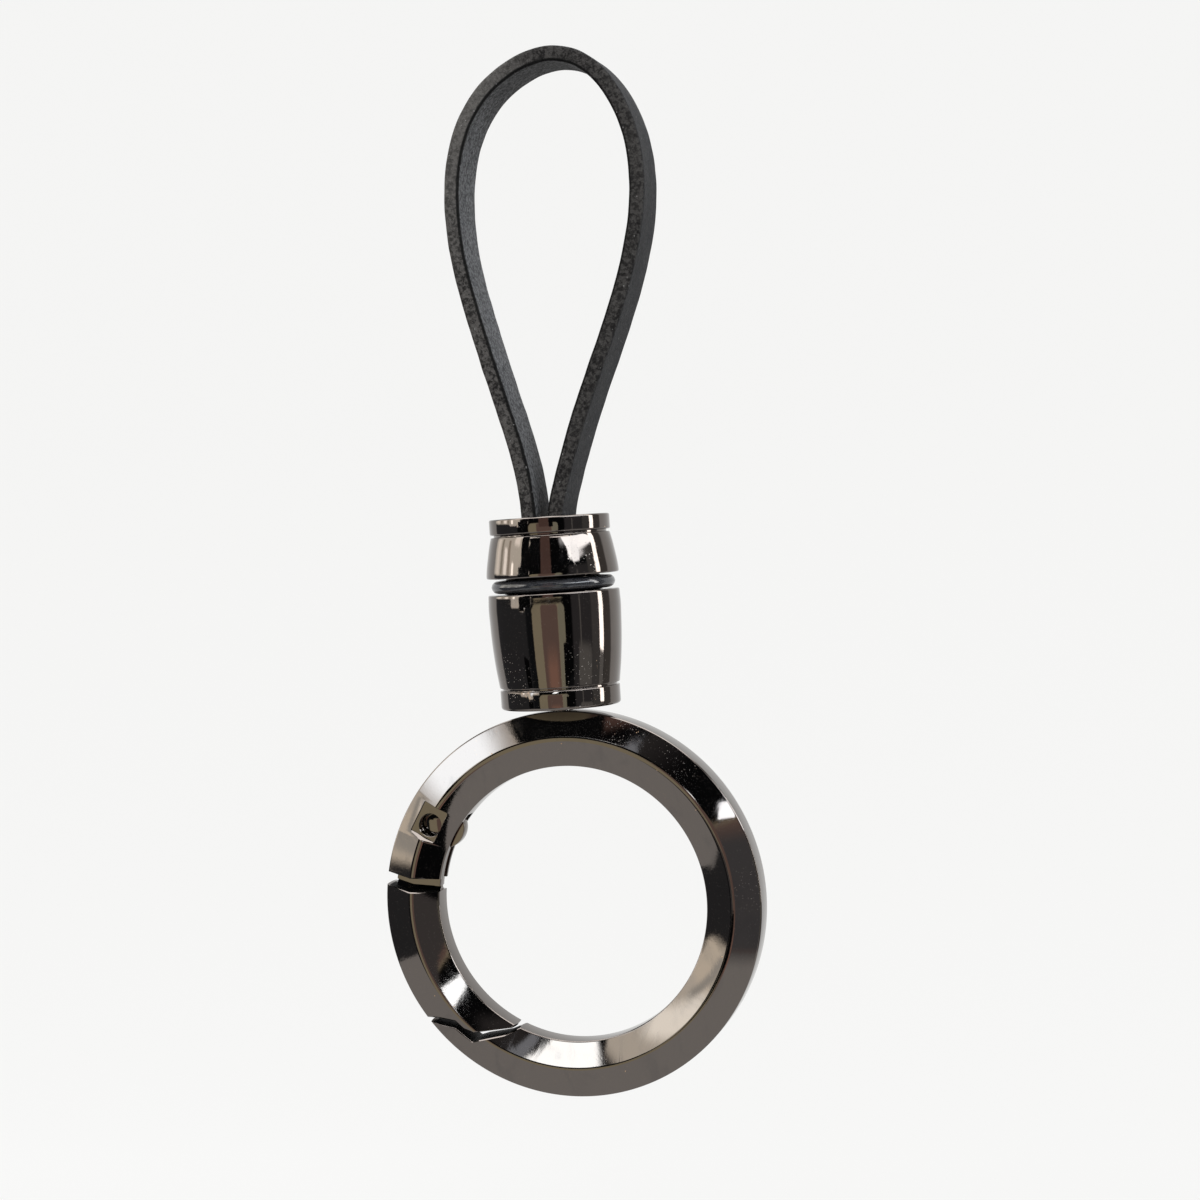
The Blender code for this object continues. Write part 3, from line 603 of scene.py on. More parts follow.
turnedParts = {
    "steps": 256, "rimRadius": 0.00545, "rimHeight": 0.00142, "groove": 0.0002,
    "grooveDepth": 0.00024, "grooveRound": 0.00003, "bandTop": 0.00535,
    "bandRadius": 0.006, "bandHeight": 0.00371,
    "bandShares": ((0.0, 0.04), (0.075, 0.154), (0.237, 0.369), (0.453, 0.60), (0.668, 0.815),
                   (0.884, 0.965), (1.0, 1.0)),
    "mouthWall": 0.0013, "mouthWide": 0.0021, "mouthDeep": 0.00279,
    "mouthRound": 0.00045, "drill": 0.0003, "ferruleBore": 0.00385, "neck": 0.00425,
    "neckRound": 0.00005, "spigot": 0.0026, "rubberGroove": 0.00145,
    "rubberThick": 0.00115, "rubberRadius": 0.0056, "rubberPlace": -0.0061,
    "flash": 0.00002, "flashReach": 0.00005, "unevenness": 0.00002,
    "barrelRadius": 0.006, "baseRadius": 0.00542, "bodyHeight": 0.00844,
    "bodyShares": (
        (0.0, 0.89), (0.06, 0.925), (0.15, 0.98), (0.27, 0.94), (0.42, 0.86), (0.56, 0.74),
        (0.70, 0.57), (0.82, 0.38), (0.92, 0.18), (1.0, 0.02),
    ),
    "baseRim": 0.00175, "floor": 0.0022, "bore": 0.0044, "postHole": 0.00157,
    "edge": 0.00016, "lip": 0.0001, "roundLip": 0.00015, "baseRound": 0.00028,
}
bandTopZ = -turnedParts["rimHeight"] - turnedParts["groove"]
bandBottomZ = bandTopZ - turnedParts["bandHeight"]
barrelTopZ = bandBottomZ - turnedParts["rubberGroove"]
baseTopZ = barrelTopZ - turnedParts["bodyHeight"] - turnedParts["groove"]
barrelBottomZ = baseTopZ - turnedParts["baseRim"]
barrelPlace = (axisX, 0.0, collarTop)


def swell(shares, top, height, start, end, count):
    # A turned side that swells between two radii, as (radius, height) from the top down
    line = smoothLine([(start + (end - start) * b, top - height * a) for a, b in shares], count)
    return [(r, z, 0.0) for r, z in line]


def buildCollar():
    t = turnedParts
    edge, lip = t["edge"], t["lip"]
    groove = t["bandTop"] - t["grooveDepth"]
    side = swell(t["bandShares"], bandTopZ, t["bandHeight"], t["bandTop"], t["bandRadius"], 22)
    corners = [(t["rimRadius"], 0.0, edge), (t["rimRadius"], -t["rimHeight"], edge),
               (groove, -t["rimHeight"], t["grooveRound"]), (groove, bandTopZ, t["grooveRound"]),
               (side[0][0], bandTopZ, lip)] + side[2:-2]
    corners += [(t["bandRadius"], bandBottomZ, t["roundLip"]),
                (t["neck"], bandBottomZ, t["neckRound"]),
                (t["neck"], barrelTopZ - t["spigot"], lip),
                (t["ferruleBore"], barrelTopZ - t["spigot"], lip),
                (t["ferruleBore"], -t["mouthWall"], 0.0), (t["drill"], -t["mouthWall"], 0.0),
                (t["drill"], 0.0, 0.0)]
    collar = lathe("collar_turned", rounded(corners, 4, True), t["steps"], nickel, barrelPlace)
    # The mouth that the strap comes out of
    mouth = rounded([(a * t["mouthWide"], b * t["mouthDeep"], t["mouthRound"])
                     for a, b in ((1, 1), (-1, 1), (-1, -1), (1, -1))], 6, True)
    low, high = ([(axisX + x, y, z) for x, y in mouth]
                 for z in (collarTop - t["mouthWall"] - 0.001, collarTop + 0.001))
    carve(collar, [prism("mouth_tool", low, high, nickel)])
    crisp(collar)
    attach(collar, "holder")
    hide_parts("collar")
    print("collar built")


def buildRubberRing():
    t = turnedParts
    half, middle = t["rubberThick"] / 2, t["rubberPlace"]
    section = arc(half, 90.0, -270.0, 32, (t["rubberRadius"] - half, middle))[:-1]
    ring = lathe("rubber_ring_moulded", section, t["steps"], rubber, barrelPlace)
    # A moulded flash line round its outside, and a little unevenness
    for point in ring.data.vertices:
        x, y = point.co.x - axisX, point.co.y
        radius = math.hypot(x, y)
        height = point.co.z - collarTop - middle
        outside = radius > t["rubberRadius"] - half
        flash = t["flash"] * math.exp(-(height / t["flashReach"]) ** 2) * outside
        uneven = t["unevenness"] * noise.noise(Vector((x * 400, y * 400, height * 900)))
        scale = (radius + flash + uneven - t["unevenness"]) / radius
        point.co.x = axisX + x * scale
        point.co.y = y * scale
    crisp(ring, 60.0)
    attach(ring, "holder")
    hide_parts("rubber_ring")
    print("rubber ring built")


def buildBarrel():
    t = turnedParts
    lip = t["lip"]
    side = swell(t["bodyShares"], barrelTopZ, t["bodyHeight"], t["baseRadius"], t["barrelRadius"],
                 48)
    groove, soft = t["baseRadius"] - t["grooveDepth"], t["grooveRound"]
    corners = [(*side[0][:2], t["roundLip"])] + side[2:-1] + [(*side[-1][:2], lip)]
    corners += [(groove, side[-1][1], soft), (groove, baseTopZ, soft),
                (t["baseRadius"], baseTopZ, lip), (t["baseRadius"], barrelBottomZ, t["baseRound"]),
                (t["postHole"], barrelBottomZ, lip),
                (t["postHole"], barrelBottomZ + t["floor"], lip),
                (t["bore"], barrelBottomZ + t["floor"], lip), (t["bore"], barrelTopZ, lip)]
    barrel = lathe("barrel_turned", rounded(corners, 4, True), t["steps"], nickel, barrelPlace)
    crisp(barrel)
    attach(barrel, "holder")
    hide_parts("barrel")
    print("barrel built")


buildCollar()
buildRubberRing()
buildBarrel()


ring = {
    "gap": 0.00035, "inner": 0.0125, "wall": 0.005, "outerWidth": 0.0027,
    "ridgeWidth": 0.0037, "innerWidth": 0.0023, "ridgeFlat": 0.0003, "edge": 0.00016,
    "ridgeRound": 0.0016, "steps": 400,
    # The socket in its top for the post: radius and depth
    "socket": (0.00105, 0.00255),
    # The ends of the body and the gate, and the angles that the gate and its cutters span
    "endRound": 0.00018, "endClear": 0.00004, "crown": 0.00007, "cornerRound": 0.0002,
    "bodyOpening": (169.0, 211.0),
    "gateReach": (158.0, 260.0),
    "gateUpper": (171.0, 153.0),
    "gateLower": (212.5, 265.0),
    # The hinge: its slot, tongue and heel, and the clearances between them
    "hinge": 149.2, "hingeShare": 0.474, "pinShare": 0.19, "slotWidth": 0.0015,
    "slotWallShare": 0.11, "slotFrom": 171.5, "tongueFrom": 178.0, "tongueGap": 0.00015,
    "tongueEdge": 0.00006, "heelOffsetShare": 0.22, "heel": -18.0, "heelGap": 0.00012,
    # The pocket round the pin on both faces, the pin, and the hollows in the tongue
    "pocketWidthShare": 0.48, "pocketOffsetShare": 0.04, "pocketDepth": 0.0004,
    "pocketHead": 0.00178, "pocketFoot": 0.00122, "pocketSlope": 0.75,
    "pocketRound": 0.00012, "pocketLip": 0.00007, "pocketStep": 0.00015,
    "pinHole": 0.00104, "holeLip": 0.00007, "pinVisible": 0.00098, "pinFront": 0.00075,
    "pinBack": 0.0002, "pinSag": 0.00009, "pinEdge": 0.00006, "reliefHeight": 0.00055,
    "reliefDepth": 0.00035, "hollowShare": 0.51, "trench": 0.0003, "trenchShare": 0.6,
    # Cut lines through the wall: the share of the wall outwards, and the angle
    "bodyShoulder": ((-0.3, 167.1), (0.54, 169.5), (1.3, 168.0)),
    "gateShoulder": ((-0.3, 173.2), (0.54, 174.0), (1.3, 171.6)),
    "bodyNose": ((-0.3, 248.0), (0.0, 243.5), (0.226, 239.4), (0.57, 232.2), (0.68, 230.7),
                 (0.70, 223.6), (1.3, 211.7)),
    "gateNose": ((-0.3, 242.5), (0.07, 240.6), (0.534, 229.2), (0.60, 225.8), (0.61, 222.0),
                 (0.804, 217.9), (1.11, 213.8), (1.3, 211.3)),
}
wall, hingeWay = ring["wall"], ring["hinge"]
outerRadius = ring["inner"] + wall
ringCentreZ = collarTop + barrelBottomZ - ring["gap"] - outerRadius
hingeRadius = ring["inner"] + ring["hingeShare"] * wall
pinRadius = ring["pinShare"] * wall
slotRadius = outerRadius - ring["slotWallShare"] * wall
tongueRadius = slotRadius - ring["tongueGap"]
knuckleRadius = tongueRadius - hingeRadius
heelOffset = ring["heelOffsetShare"] * wall
tongueHalf = ring["slotWidth"] / 2 - ring["tongueGap"]
pocketFloor = ring["ridgeWidth"] / 2 - ring["pocketDepth"]


def atRing(x, z):
    # From the ring's own centre to the model's frame
    return axisX + x, ringCentreZ + z


def ringSection():
    # The front half of the section as (radius, depth), with its corners rounded
    inner, outer = ring["inner"], outerRadius
    ridge = inner + wall / 2
    flat = ring["ridgeFlat"] / 2
    low, mid, high = ring["innerWidth"] / 2, ring["ridgeWidth"] / 2, ring["outerWidth"] / 2
    edge, soft = ring["edge"], ring["ridgeRound"]
    return rounded([(inner, 0.0, 0.0), (inner, low, edge), (ridge - flat, mid, soft),
                    (ridge + flat, mid, soft), (outer, high, edge), (outer, 0.0, 0.0)], 6)


halfSection = ringSection()


def depthAt(radius):
    # Half the ring's width at a radius
    line = halfSection[1:-1]
    return float(np.interp(radius, [r for r, _ in line], [d for _, d in line]))


def layered(name, loops, closed=False):
    # A solid through loops of (x, y, z) in the ring's own frame
    return loft(name, [[(axisX + x, y, ringCentreZ + z) for x, y, z in loop] for loop in loops],
                nickel, closed)


def ringSweep(name, start, end):
    # The section swept round the ring between two angles, or right round
    section = [(r, -d) for r, d in halfSection] + [(r, d) for r, d in halfSection[::-1]][1:-1]
    closed = end - start >= 360.0
    count = int(ring["steps"] * (end - start) / 360.0)
    loops = []
    for k in range(count if closed else count + 1):
        angle = start + (end - start) * k / count
        loops.append([(x, d, z) for r, d in section for x, z in (polar(r, angle),)])
    return layered(name, loops, closed)


def outward(outline):
    # Unit normals that point out of a closed outline
    area = sum(a[0] * b[1] - b[0] * a[1] for a, b in zip(outline, outline[1:] + outline[:1]))
    turn = 1.0 if area > 0 else -1.0
    result = []
    for i, here in enumerate(outline):
        a, b = outline[i - 1], outline[(i + 1) % len(outline)]
        before = Vector((here[1] - a[1], a[0] - here[0])).normalized() * turn
        after = Vector((b[1] - here[1], here[0] - b[0])).normalized() * turn
        middle = (before + after).normalized()
        result.append(middle / max(0.5, middle.dot(after)))
    return result


def wallPoint(share, degrees):
    return polar(ring["inner"] + share * wall, degrees)


def cutLine(line):
    # A cut line through the wall, with its corners a little rounded
    return rounded([(*wallPoint(*p), ring["cornerRound"]) for p in line])


def endTool(name, lines, joins):
    # A cutter whose sides along the cut lines leave crowned ends with rounded edges
    outline, shaped = [], []
    for line, join in zip(lines, joins):
        points = cutLine(line)
        outline += points + join
        shaped += [1.0] * len(points) + [0.0] * len(join)
    normals = outward(outline)
    fall = ring["endRound"]
    # From well clear of the surface, round the edge, and over half the crown
    profile = []
    for degrees in (62.0, 46.0, 31.0, 15.0, 0.0):
        a = math.radians(degrees)
        profile.append((fall * (math.sin(a) - 1.0), fall * (1.0 - math.cos(a)), 1.0))
    widest = profile[0][1] + ring["endClear"]
    profile = [(0.0034, widest, 0.0), (0.00002, widest, 1.0)] + profile
    profile += [(-fall, -ring["crown"] * (1.0 - share * share), share)
                for share in (0.72, 0.42, 0.14)]
    layers = []
    for rise, spread, share in profile:
        layer = []
        for point, normal, weight in zip(outline, normals, shaped):
            x, z = Vector(point) + normal * spread * weight
            deep = (depthAt(math.hypot(x, z)) + rise) * share
            layer.append((x, deep or rise, z))
        layers.append(layer)
    front = [[(x, -y, z) for x, y, z in layer] for layer in layers]
    return layered(name, front + layers[::-1])


def pocketTool(side):
    # A flat-floored recess with broken edges, whose lower wall slopes up to the surface
    wide = ring["pocketWidthShare"] * wall / 2
    lift = hingeRadius + ring["pocketOffsetShare"] * wall
    soft, lip = ring["pocketRound"], ring["pocketLip"]
    base = rounded([(wide, ring["pocketFoot"], soft), (-wide, ring["pocketFoot"], soft),
                    (-wide, -ring["pocketHead"], soft), (wide, -ring["pocketHead"], soft)], 5, True)
    base = divided(base, ring["pocketStep"])
    out = Vector(polar(1.0, hingeWay))
    along = Vector(polar(1.0, hingeWay + 90.0))
    loops = []
    for k, (rise, spread) in enumerate(((None, 0.0), (-lip, 0.0), (-0.35 * lip, 0.3 * lip),
                                        (0.6 * lip, 1.3 * lip), (0.0004, 1.3 * lip))):
        loop = []
        for (a, b), normal in zip(base, outward(base)):
            foot = out * (lift + a + normal[0] * spread) + along * (b + normal[1] * spread)
            deep = pocketFloor
            if k:
                deep = max(pocketFloor + 0.00001 * k, depthAt(foot.length) + rise)
            if k == 4:
                deep = ring["ridgeWidth"] / 2 + rise
            lean = min(deep - pocketFloor, ring["pocketDepth"]) * ring["pocketSlope"]
            lean = max(0.0, normal[1]) * lean
            foot = foot + along * lean
            loop.append((foot[0], side * deep, foot[1]))
        loops.append(loop)
    return layered("pocket_tool", loops)


def toHinge(piece):
    # Turned from Z to Y and set on the hinge
    x, z = atRing(*polar(hingeRadius, hingeWay))
    turn = Matrix.Rotation(math.radians(-90.0), 4, "X")
    piece.data.transform(Matrix.Translation((x, 0.0, z)) @ turn)


def holeTool(name, depth):
    # The pin's hole, its edges broken where it comes out at the given depth on both sides
    radius, lip = ring["pinHole"], ring["holeLip"]
    half = [(radius + lip, 0.004), (radius + lip, depth + lip * 0.2),
            (radius + 0.3 * lip, depth - 0.35 * lip), (radius, depth - lip)]
    outline = [(r, -z) for r, z in half] + half[::-1]
    tool = lathe(name, outline, 72, nickel, solid=True)
    toHinge(tool)
    return tool


def slotTool():
    reach = 0.75 * heelOffset + knuckleRadius + ring["heelGap"]
    stop = hingeWay - math.degrees(math.asin(reach / hingeRadius))
    inside = ring["inner"] - 0.001
    outline = arc(slotRadius, ring["slotFrom"], stop + 3.0, 24)
    outline += [polar(hingeRadius, stop), polar(inside, stop)]
    outline += arc(inside, stop, ring["slotFrom"], 8)[1:]
    half = ring["slotWidth"] / 2
    return plate("slot_tool", [atRing(*p) for p in outline], -half, half, nickel)


def buildRingBody():
    body = ringSweep("ring_body_cast", 0.0, 360.0)
    outside = arc(outerRadius + 0.0015, *ring["bodyOpening"], 12)[1:-1]
    lines = (ring["bodyShoulder"], ring["bodyNose"][::-1])
    carve(body, [endTool("opening_tool", lines, (outside, []))])
    # The socket for the post
    x, z = atRing(0.0, outerRadius)
    radius, depth = ring["socket"]
    outline = [(radius, 0.001), (radius, -depth)]
    socket = lathe("socket_tool", outline, 48, nickel, (x, 0.0, z), True)
    hole = holeTool("hole_tool", pocketFloor)
    carve(body, [slotTool(), pocketTool(-1), pocketTool(1), hole, socket])
    crisp(body, 30.0)
    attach(body, "ring")
    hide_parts("ring_body")
    print("ring body built")


def tongueOutline():
    pin = polar(hingeRadius, hingeWay)
    heel = polar(heelOffset, ring["heel"], pin)
    inner = ring["inner"] + ring["heelGap"]
    arm = arc(tongueRadius, ring["tongueFrom"], hingeWay, 24)
    knuckle = arc(knuckleRadius, hingeWay, ring["heel"] + 90.0, 16, pin)
    reach = math.hypot(*heel)
    towards = math.degrees(math.atan2(-heel[1], -heel[0]))
    cosine = (reach**2 + knuckleRadius**2 - inner**2) / (2 * reach * knuckleRadius)
    leave = towards - math.degrees(math.acos(cosine))
    bulge = arc(knuckleRadius, ring["heel"] + 90.0, leave, 30, heel)
    last = math.degrees(math.atan2(bulge[-1][1], bulge[-1][0]))
    back = arc(inner, last, ring["tongueFrom"], 16)
    return arm + knuckle[1:] + bulge + back[1:]


def reliefTool(side):
    # A sloping hollow across the tongue's root, deepest at its upper end
    line = ring["gateShoulder"]
    rise = math.degrees(ring["reliefHeight"] / hingeRadius)
    upper = [wallPoint(s, a - rise) for s, a in line]
    lower = [wallPoint(s, a + 1.5) for s, a in line[::-1]]
    deep = [wallPoint(s, a - rise + 0.4) for s, a in line[::-1]]
    return layered("relief_tool", [
        [(x, side * (tongueHalf - ring["reliefDepth"]), z) for x, z in upper + deep],
        [(x, side * (tongueHalf + 0.0001), z) for x, z in upper + lower]])


def buildGate():
    gate = ringSweep("gate_cast", *ring["gateReach"])
    beyond, inside = outerRadius + 0.003, ring["inner"] - 0.0015
    upper, lower = ring["gateUpper"], ring["gateLower"]
    carve(gate, [endTool("shoulder_tool", (ring["gateShoulder"],),
                         (arc(beyond, *upper, 4) + [polar(inside, upper[1])],)),
                 endTool("nose_tool", (ring["gateNose"],),
                         (arc(beyond, *lower, 10) + [polar(inside, lower[1])],))])
    outline = [atRing(*p) for p in tongueOutline()]
    tongue = plate("tongue_tool", outline, -tongueHalf, tongueHalf, nickel, ring["tongueEdge"])
    carve(tongue, [reliefTool(-1), reliefTool(1)])
    carve(gate, [tongue], "UNION")
    carve(gate, [holeTool("gate_hole_tool", tongueHalf)])
    # The hollow at the rear of the tongue that the spring lies in, and the trench for its leg
    pin = atRing(*polar(hingeRadius, hingeWay))
    hollow = circle(ring["hollowShare"] * wall, 64, pin)
    leg = hingeWay + 90.0
    width = ring["trench"]
    foot = Vector(pin) + Vector(polar(pinRadius + width, leg + 90.0))
    run, wide = Vector(polar(1.0, leg)), Vector(polar(width, leg + 90.0))
    length = ring["trenchShare"] * wall + pinRadius + width
    trench = [foot + wide, foot - wide, foot - wide + run * length, foot + wide + run * length]
    carve(gate, [plate("hollow_tool", hollow, 0.0, 0.004, nickel),
                 plate("trench_tool", trench, 0.0, 0.004, nickel)])
    crisp(gate, 30.0)
    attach(gate, "gate")
    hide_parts("gate")
    print("gate built")


def buildPin():
    # The pin's ends stand back in their holes and are slightly domed
    front, rear = pocketFloor - ring["pinFront"], pocketFloor - ring["pinBack"]
    r, sag, edge = ring["pinVisible"], ring["pinSag"], ring["pinEdge"]
    dome = [(share * r, sag * (1.0 - share * share)) for share in (0.1, 0.3, 0.55, 0.75, 0.9)]
    outline = [(a, rear - sag + b, 0.0) for a, b in dome] + [(r, rear - sag, edge)]
    outline += [(r, -front + sag, edge)] + [(a, -front + sag - b, 0.0) for a, b in dome[::-1]]
    pin = lathe("gate_pin_turned", rounded(outline, 3), 72, nickel, solid=True)
    toHinge(pin)
    crisp(pin)
    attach(pin, "ring")
    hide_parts("gate_pin")
    print("pin built")


spring = {
    "radius": 0.00125, "wire": 0.00008, "pitch": 0.0002, "turns": 2, "gateLeg": 0.003,
    "bodyLeg": 0.0022, "bodyWay": 65.0, "steps": 56, "sides": 12, "bendFrom": 0.0002,
    "bendTo": 0.0013,
}


def buildSpring():
    # The coil round the pin: one leg lies in the gate's hollow
    s = spring
    x, z = polar(hingeRadius, hingeWay)
    gateWay = hingeWay + 90.0
    start = gateWay - 270.0
    turned = 360.0 * s["turns"] + s["bodyWay"] - 90.0 - start
    rise = s["pitch"] * turned / 360.0
    first = (ring["slotWidth"] / 2 - rise) / 2
    count = int(s["steps"] * turned / 360.0)
    coil = [(*polar(s["radius"], start + turned * i / count), first + rise * i / count)
            for i in range(count + 1)]
    before = [(*polar(s["gateLeg"] * k / 8, gateWay, coil[0][:2]), first) for k in range(8, 0, -1)]
    after = [(*polar(s["bodyLeg"] * k / 8, s["bodyWay"], coil[-1][:2]), first + rise)
             for k in range(1, 9)]
    path = np.array([(a, y, c) for a, c, y in before + coil + after])
    ways = np.gradient(path, axis=0)
    loops = []
    for point, way in zip(path, ways):
        way = Vector(way).normalized()
        side = way.cross(Vector((0.0, 1.0, 0.0))).normalized()
        up = side.cross(way)
        loops.append([Vector(point) + s["wire"] * (side * math.cos(t) + up * math.sin(t))
                      for t in np.linspace(0.0, 2 * math.pi, s["sides"], endpoint=False)])
    loops = [[(p[0] + x, p[1], p[2] + z) for p in loop] for loop in loops]
    made = layered("gate_spring_wound", loops)
    made.data.materials[0] = springSteel
    crisp(made, 60.0)
    applied(made)
    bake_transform(made)
    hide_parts("gate_spring")
    print("spring built")


buildRingBody()
buildGate()
buildPin()
buildSpring()

for nodeName, finish in (("strap_ferrule", brass), ("strap_pin", steel), ("swivel_washer", steel),
                         ("swivel_post", steel)):
    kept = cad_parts[nodeName]
    for slotOf in kept.material_slots:
        slotOf.material = finish


stage = {
    "floor": -0.17, "back": 0.42, "bend": 0.16, "front": -1.6, "side": 2.2, "top": 1.6,
    "colour": rgb(0.03, 0.03, 0.03),
    "glow": rgb(0.872, 0.871, 0.862),
}


def buildStage():
    made, shader, place = newMaterial("pale_paper")
    tone = noiseOf(place, 900.0, 3.0).step(0.3, 0.7)
    feed(shader, Base_Color=(tone * 0.1).blend(stage["colour"], rgb(0.025, 0.025, 0.025)))
    fixed(shader, {"Roughness": 0.9, "Emission Color": stage["glow"], "Emission Strength": 1.0,
                   "Specular IOR Level": 0.1})
    bend = stage["bend"]
    profile = [(stage["front"], stage["floor"])]
    profile += arc(bend, -90.0, 0.0, 24, (stage["back"] - bend, stage["floor"] + bend))
    profile += [(stage["back"], stage["top"])]
    loops = [[(x, y, z) for x in (-stage["side"], stage["side"])] for y, z in profile]
    points = [p for loop in loops for p in loop]
    sweep = meshObject("paper_sweep", points, skin(loops, False), made)
    sweep.data.shade_smooth()
    sweep.visible_glossy = False
    sweep.visible_diffuse = False


# The room that the metal reflects. Azimuths go from the front towards +X. Each patch is a
# rounded rectangle: its middle, its half sizes, corner and soft edge in degrees, its lean in
# degrees of azimuth for each degree up, and its brightness.
dark = (0.011, 0.012, 0.014)
room = {
    "base": rgb(0.03, 0.034, 0.04),
    "paper": rgb(0.87, 0.868, 0.86),
    "seen": rgb(0.87, 0.872, 0.868),
    "rightDim": rgb(0.22, 0.21, 0.20),
    "softFront": rgb(0.36, 0.36, 0.36),
    "softAbove": rgb(0.95, 0.97, 1.0),
    "ceiling": rgb(4.5, 4.5, 4.5),
    "lowest": rgb(2.0, 2.0, 1.95),
}
patches = (
    ("left wall", -76, -15, 38, 18, 3, 5, 0, (0.095, 0.1, 0.11)),
    ("curtain", -67, 20.5, 45, 17, 5, 2.5, 0, (2.5, 2.4, 2.15)),
    ("curtain low", -44, 2.1, 5, 4.3, 2, 2, 0, (2.9, 2.7, 2.3)),
    ("curtain hem", -58, 4, 9, 3.2, 3, 1.5, 0, (2.3, 2.2, 2)),
    ("curtain glow", -36, 12, 4.5, 7, 3, 5, 0, (4.8, 4.8, 4.5)),
    ("curtain fold", -41.5, 4, 1.2, 5, 1, 2, 0, (1.6, 1.6, 1.5)),
    ("streak", -60, 9, 2.2, 5.5, 1.5, 1.5, 0, (7, 6.8, 6.4)),
    ("streak", -77, 10, 3.5, 5.5, 1.5, 2, 0, (5, 4.8, 4.5)),
    ("streak", -52, 27, 6, 7, 2, 5, 0, (4.5, 4.3, 4)),
    ("streak", -97, 12, 4, 8, 2, 4, 0, (3.5, 3.3, 3)),
    ("fold", -69, 13, 2.6, 9, 2, 3, 0, (1.4, 1.25, 1.05)),
    ("fold", -87, 13, 2.6, 9, 2, 3, 0, (1.3, 1.2, 1)),
    ("middle dark", 35, -3, 61, 16, 2, 1.5, 0, dark),
    ("upper dark", 35.2, 27, 62, 16, 2, 1, -0.75, dark),
    ("grey slope", -8, 19, 14, 5, 2, 6, 0, (0.125, 0.12, 0.125)),
    ("top window", -14.2, 21.5, 6.8, 6, 2, 1.8, -0.3, (7.5, 8.2, 8.6)),
    ("top bar", -4.2, 20, 1.4, 5, 0.5, 1, 0, (0.9, 1, 1.15)),
    ("spot", 10.2, 8, 4.3, 3.2, 1, 0.9, 2, (7.8, 8.7, 9.4)),
    ("door", 2.5, -20.7, 28.5, 24.2, 7, 1, 0, (0.98, 0.89, 0.63)),
    ("door brown", 4.5, -20.7, 14.5, 23.8, 3, 1.5, 0, (0.52, 0.36, 0.31)),
    ("door low", 6, -27, 9, 14, 4, 9, 0, (0.95, 0.55, 0.42)),
    ("door right", 25.5, -20.7, 5.5, 24.2, 5, 1, 0, (0.85, 0.84, 0.64)),
    ("right wall", 62, -4, 18, 17, 3, 4, 0, (0.12, 0.12, 0.13)),
    ("right end", 89, -4, 9, 30, 3, 4, 0, (0.23, 0.23, 0.23)),
    ("right line", 59, -4, 1, 12, 1, 1, 0, (0.4, 0.4, 0.39)),
    ("right low", 67, -16, 13, 6, 3, 3, 0, (0.4, 0.4, 0.39)),
    ("window haze", 50, 26.5, 18, 4, 3, 6, 0, (1.8, 1.9, 2)),
    ("window", 68, 24, 28, 6.5, 5, 1.8, -1, (7.2, 7.6, 8)),
    ("window tip", 60, 18, 7, 2.2, 2, 1.5, 0, (6.6, 7, 7.4)),
    ("top band", -8, 32.2, 62, 1.6, 1, 1, 0, (4.5, 4.4, 4.3)),
    ("right strip", 102, 15, 4.7, 25, 1.5, 1, 0, (9, 8.9, 8.7)),
    ("strip foot", 102, -20, 4.7, 10, 1.5, 1, 0, (0.5, 0.5, 0.49)),
)


def buildRoom():
    world = bpy.data.worlds.new("room")
    scene.world = world
    world.use_nodes = True
    tree = world.node_tree
    tree.nodes.clear()
    start = Signal(tree)
    ray = start.node("TexCoord").out("Generated")
    parts = ray.node("SeparateXYZ", None, {0: ray})
    toDegrees = 180.0 / math.pi
    azimuth = parts.calc("ARCTAN2", parts.out("X"), -parts.out("Y")) * toDegrees
    elevation = parts.calc("ARCSINE", parts.out("Z").most(-1.0).least(1.0)) * toDegrees
    colour = room["base"]
    for _, middle, height, wide, tall, corner, soft, lean, shade in patches:
        above = elevation - height
        beyond = azimuth - middle
        if lean:
            beyond = beyond - above * lean
        beyond = (beyond.size() - (wide - corner)).most(0.0)
        above = (above.size() - (tall - corner)).most(0.0)
        away = (beyond * beyond + above * above) ** 0.5
        colour = away.fade(corner - soft / 2, corner + soft / 2).blend(colour, rgb(*shade))
    # White paper below, to the left and behind
    colour = azimuth.step(106.5, 108.5).blend(colour, room["rightDim"])
    below = elevation.fade(-33.0, -28.0)
    left = azimuth.fade(-109.0, -104.0)
    right = azimuth.step(124.0, 129.0)
    colour = below.most(left).most(right).blend(colour, room["paper"])
    colour = elevation.step(46.0, 52.0).blend(colour, room["ceiling"])
    colour = elevation.fade(-64.0, -56.0).blend(colour, room["lowest"])
    # Soft surfaces get the same room without its sharp patches
    away = parts.out("Y").step(-0.6, 0.5)
    plain = away.blend(room["softFront"], room["paper"])
    plain = parts.out("Z").step(0.0, 0.8).blend(plain, room["softAbove"])
    path = start.node("LightPath")
    colour = path.out("Is Diffuse Ray").blend(colour, plain)
    colour = path.out("Is Camera Ray").blend(colour, room["seen"])
    back = start.node("Background", None, {"Color": colour, "Strength": 1.0})
    out = start.node("OutputWorld")
    tree.links.new(back.made.outputs[0], out.made.inputs[0])


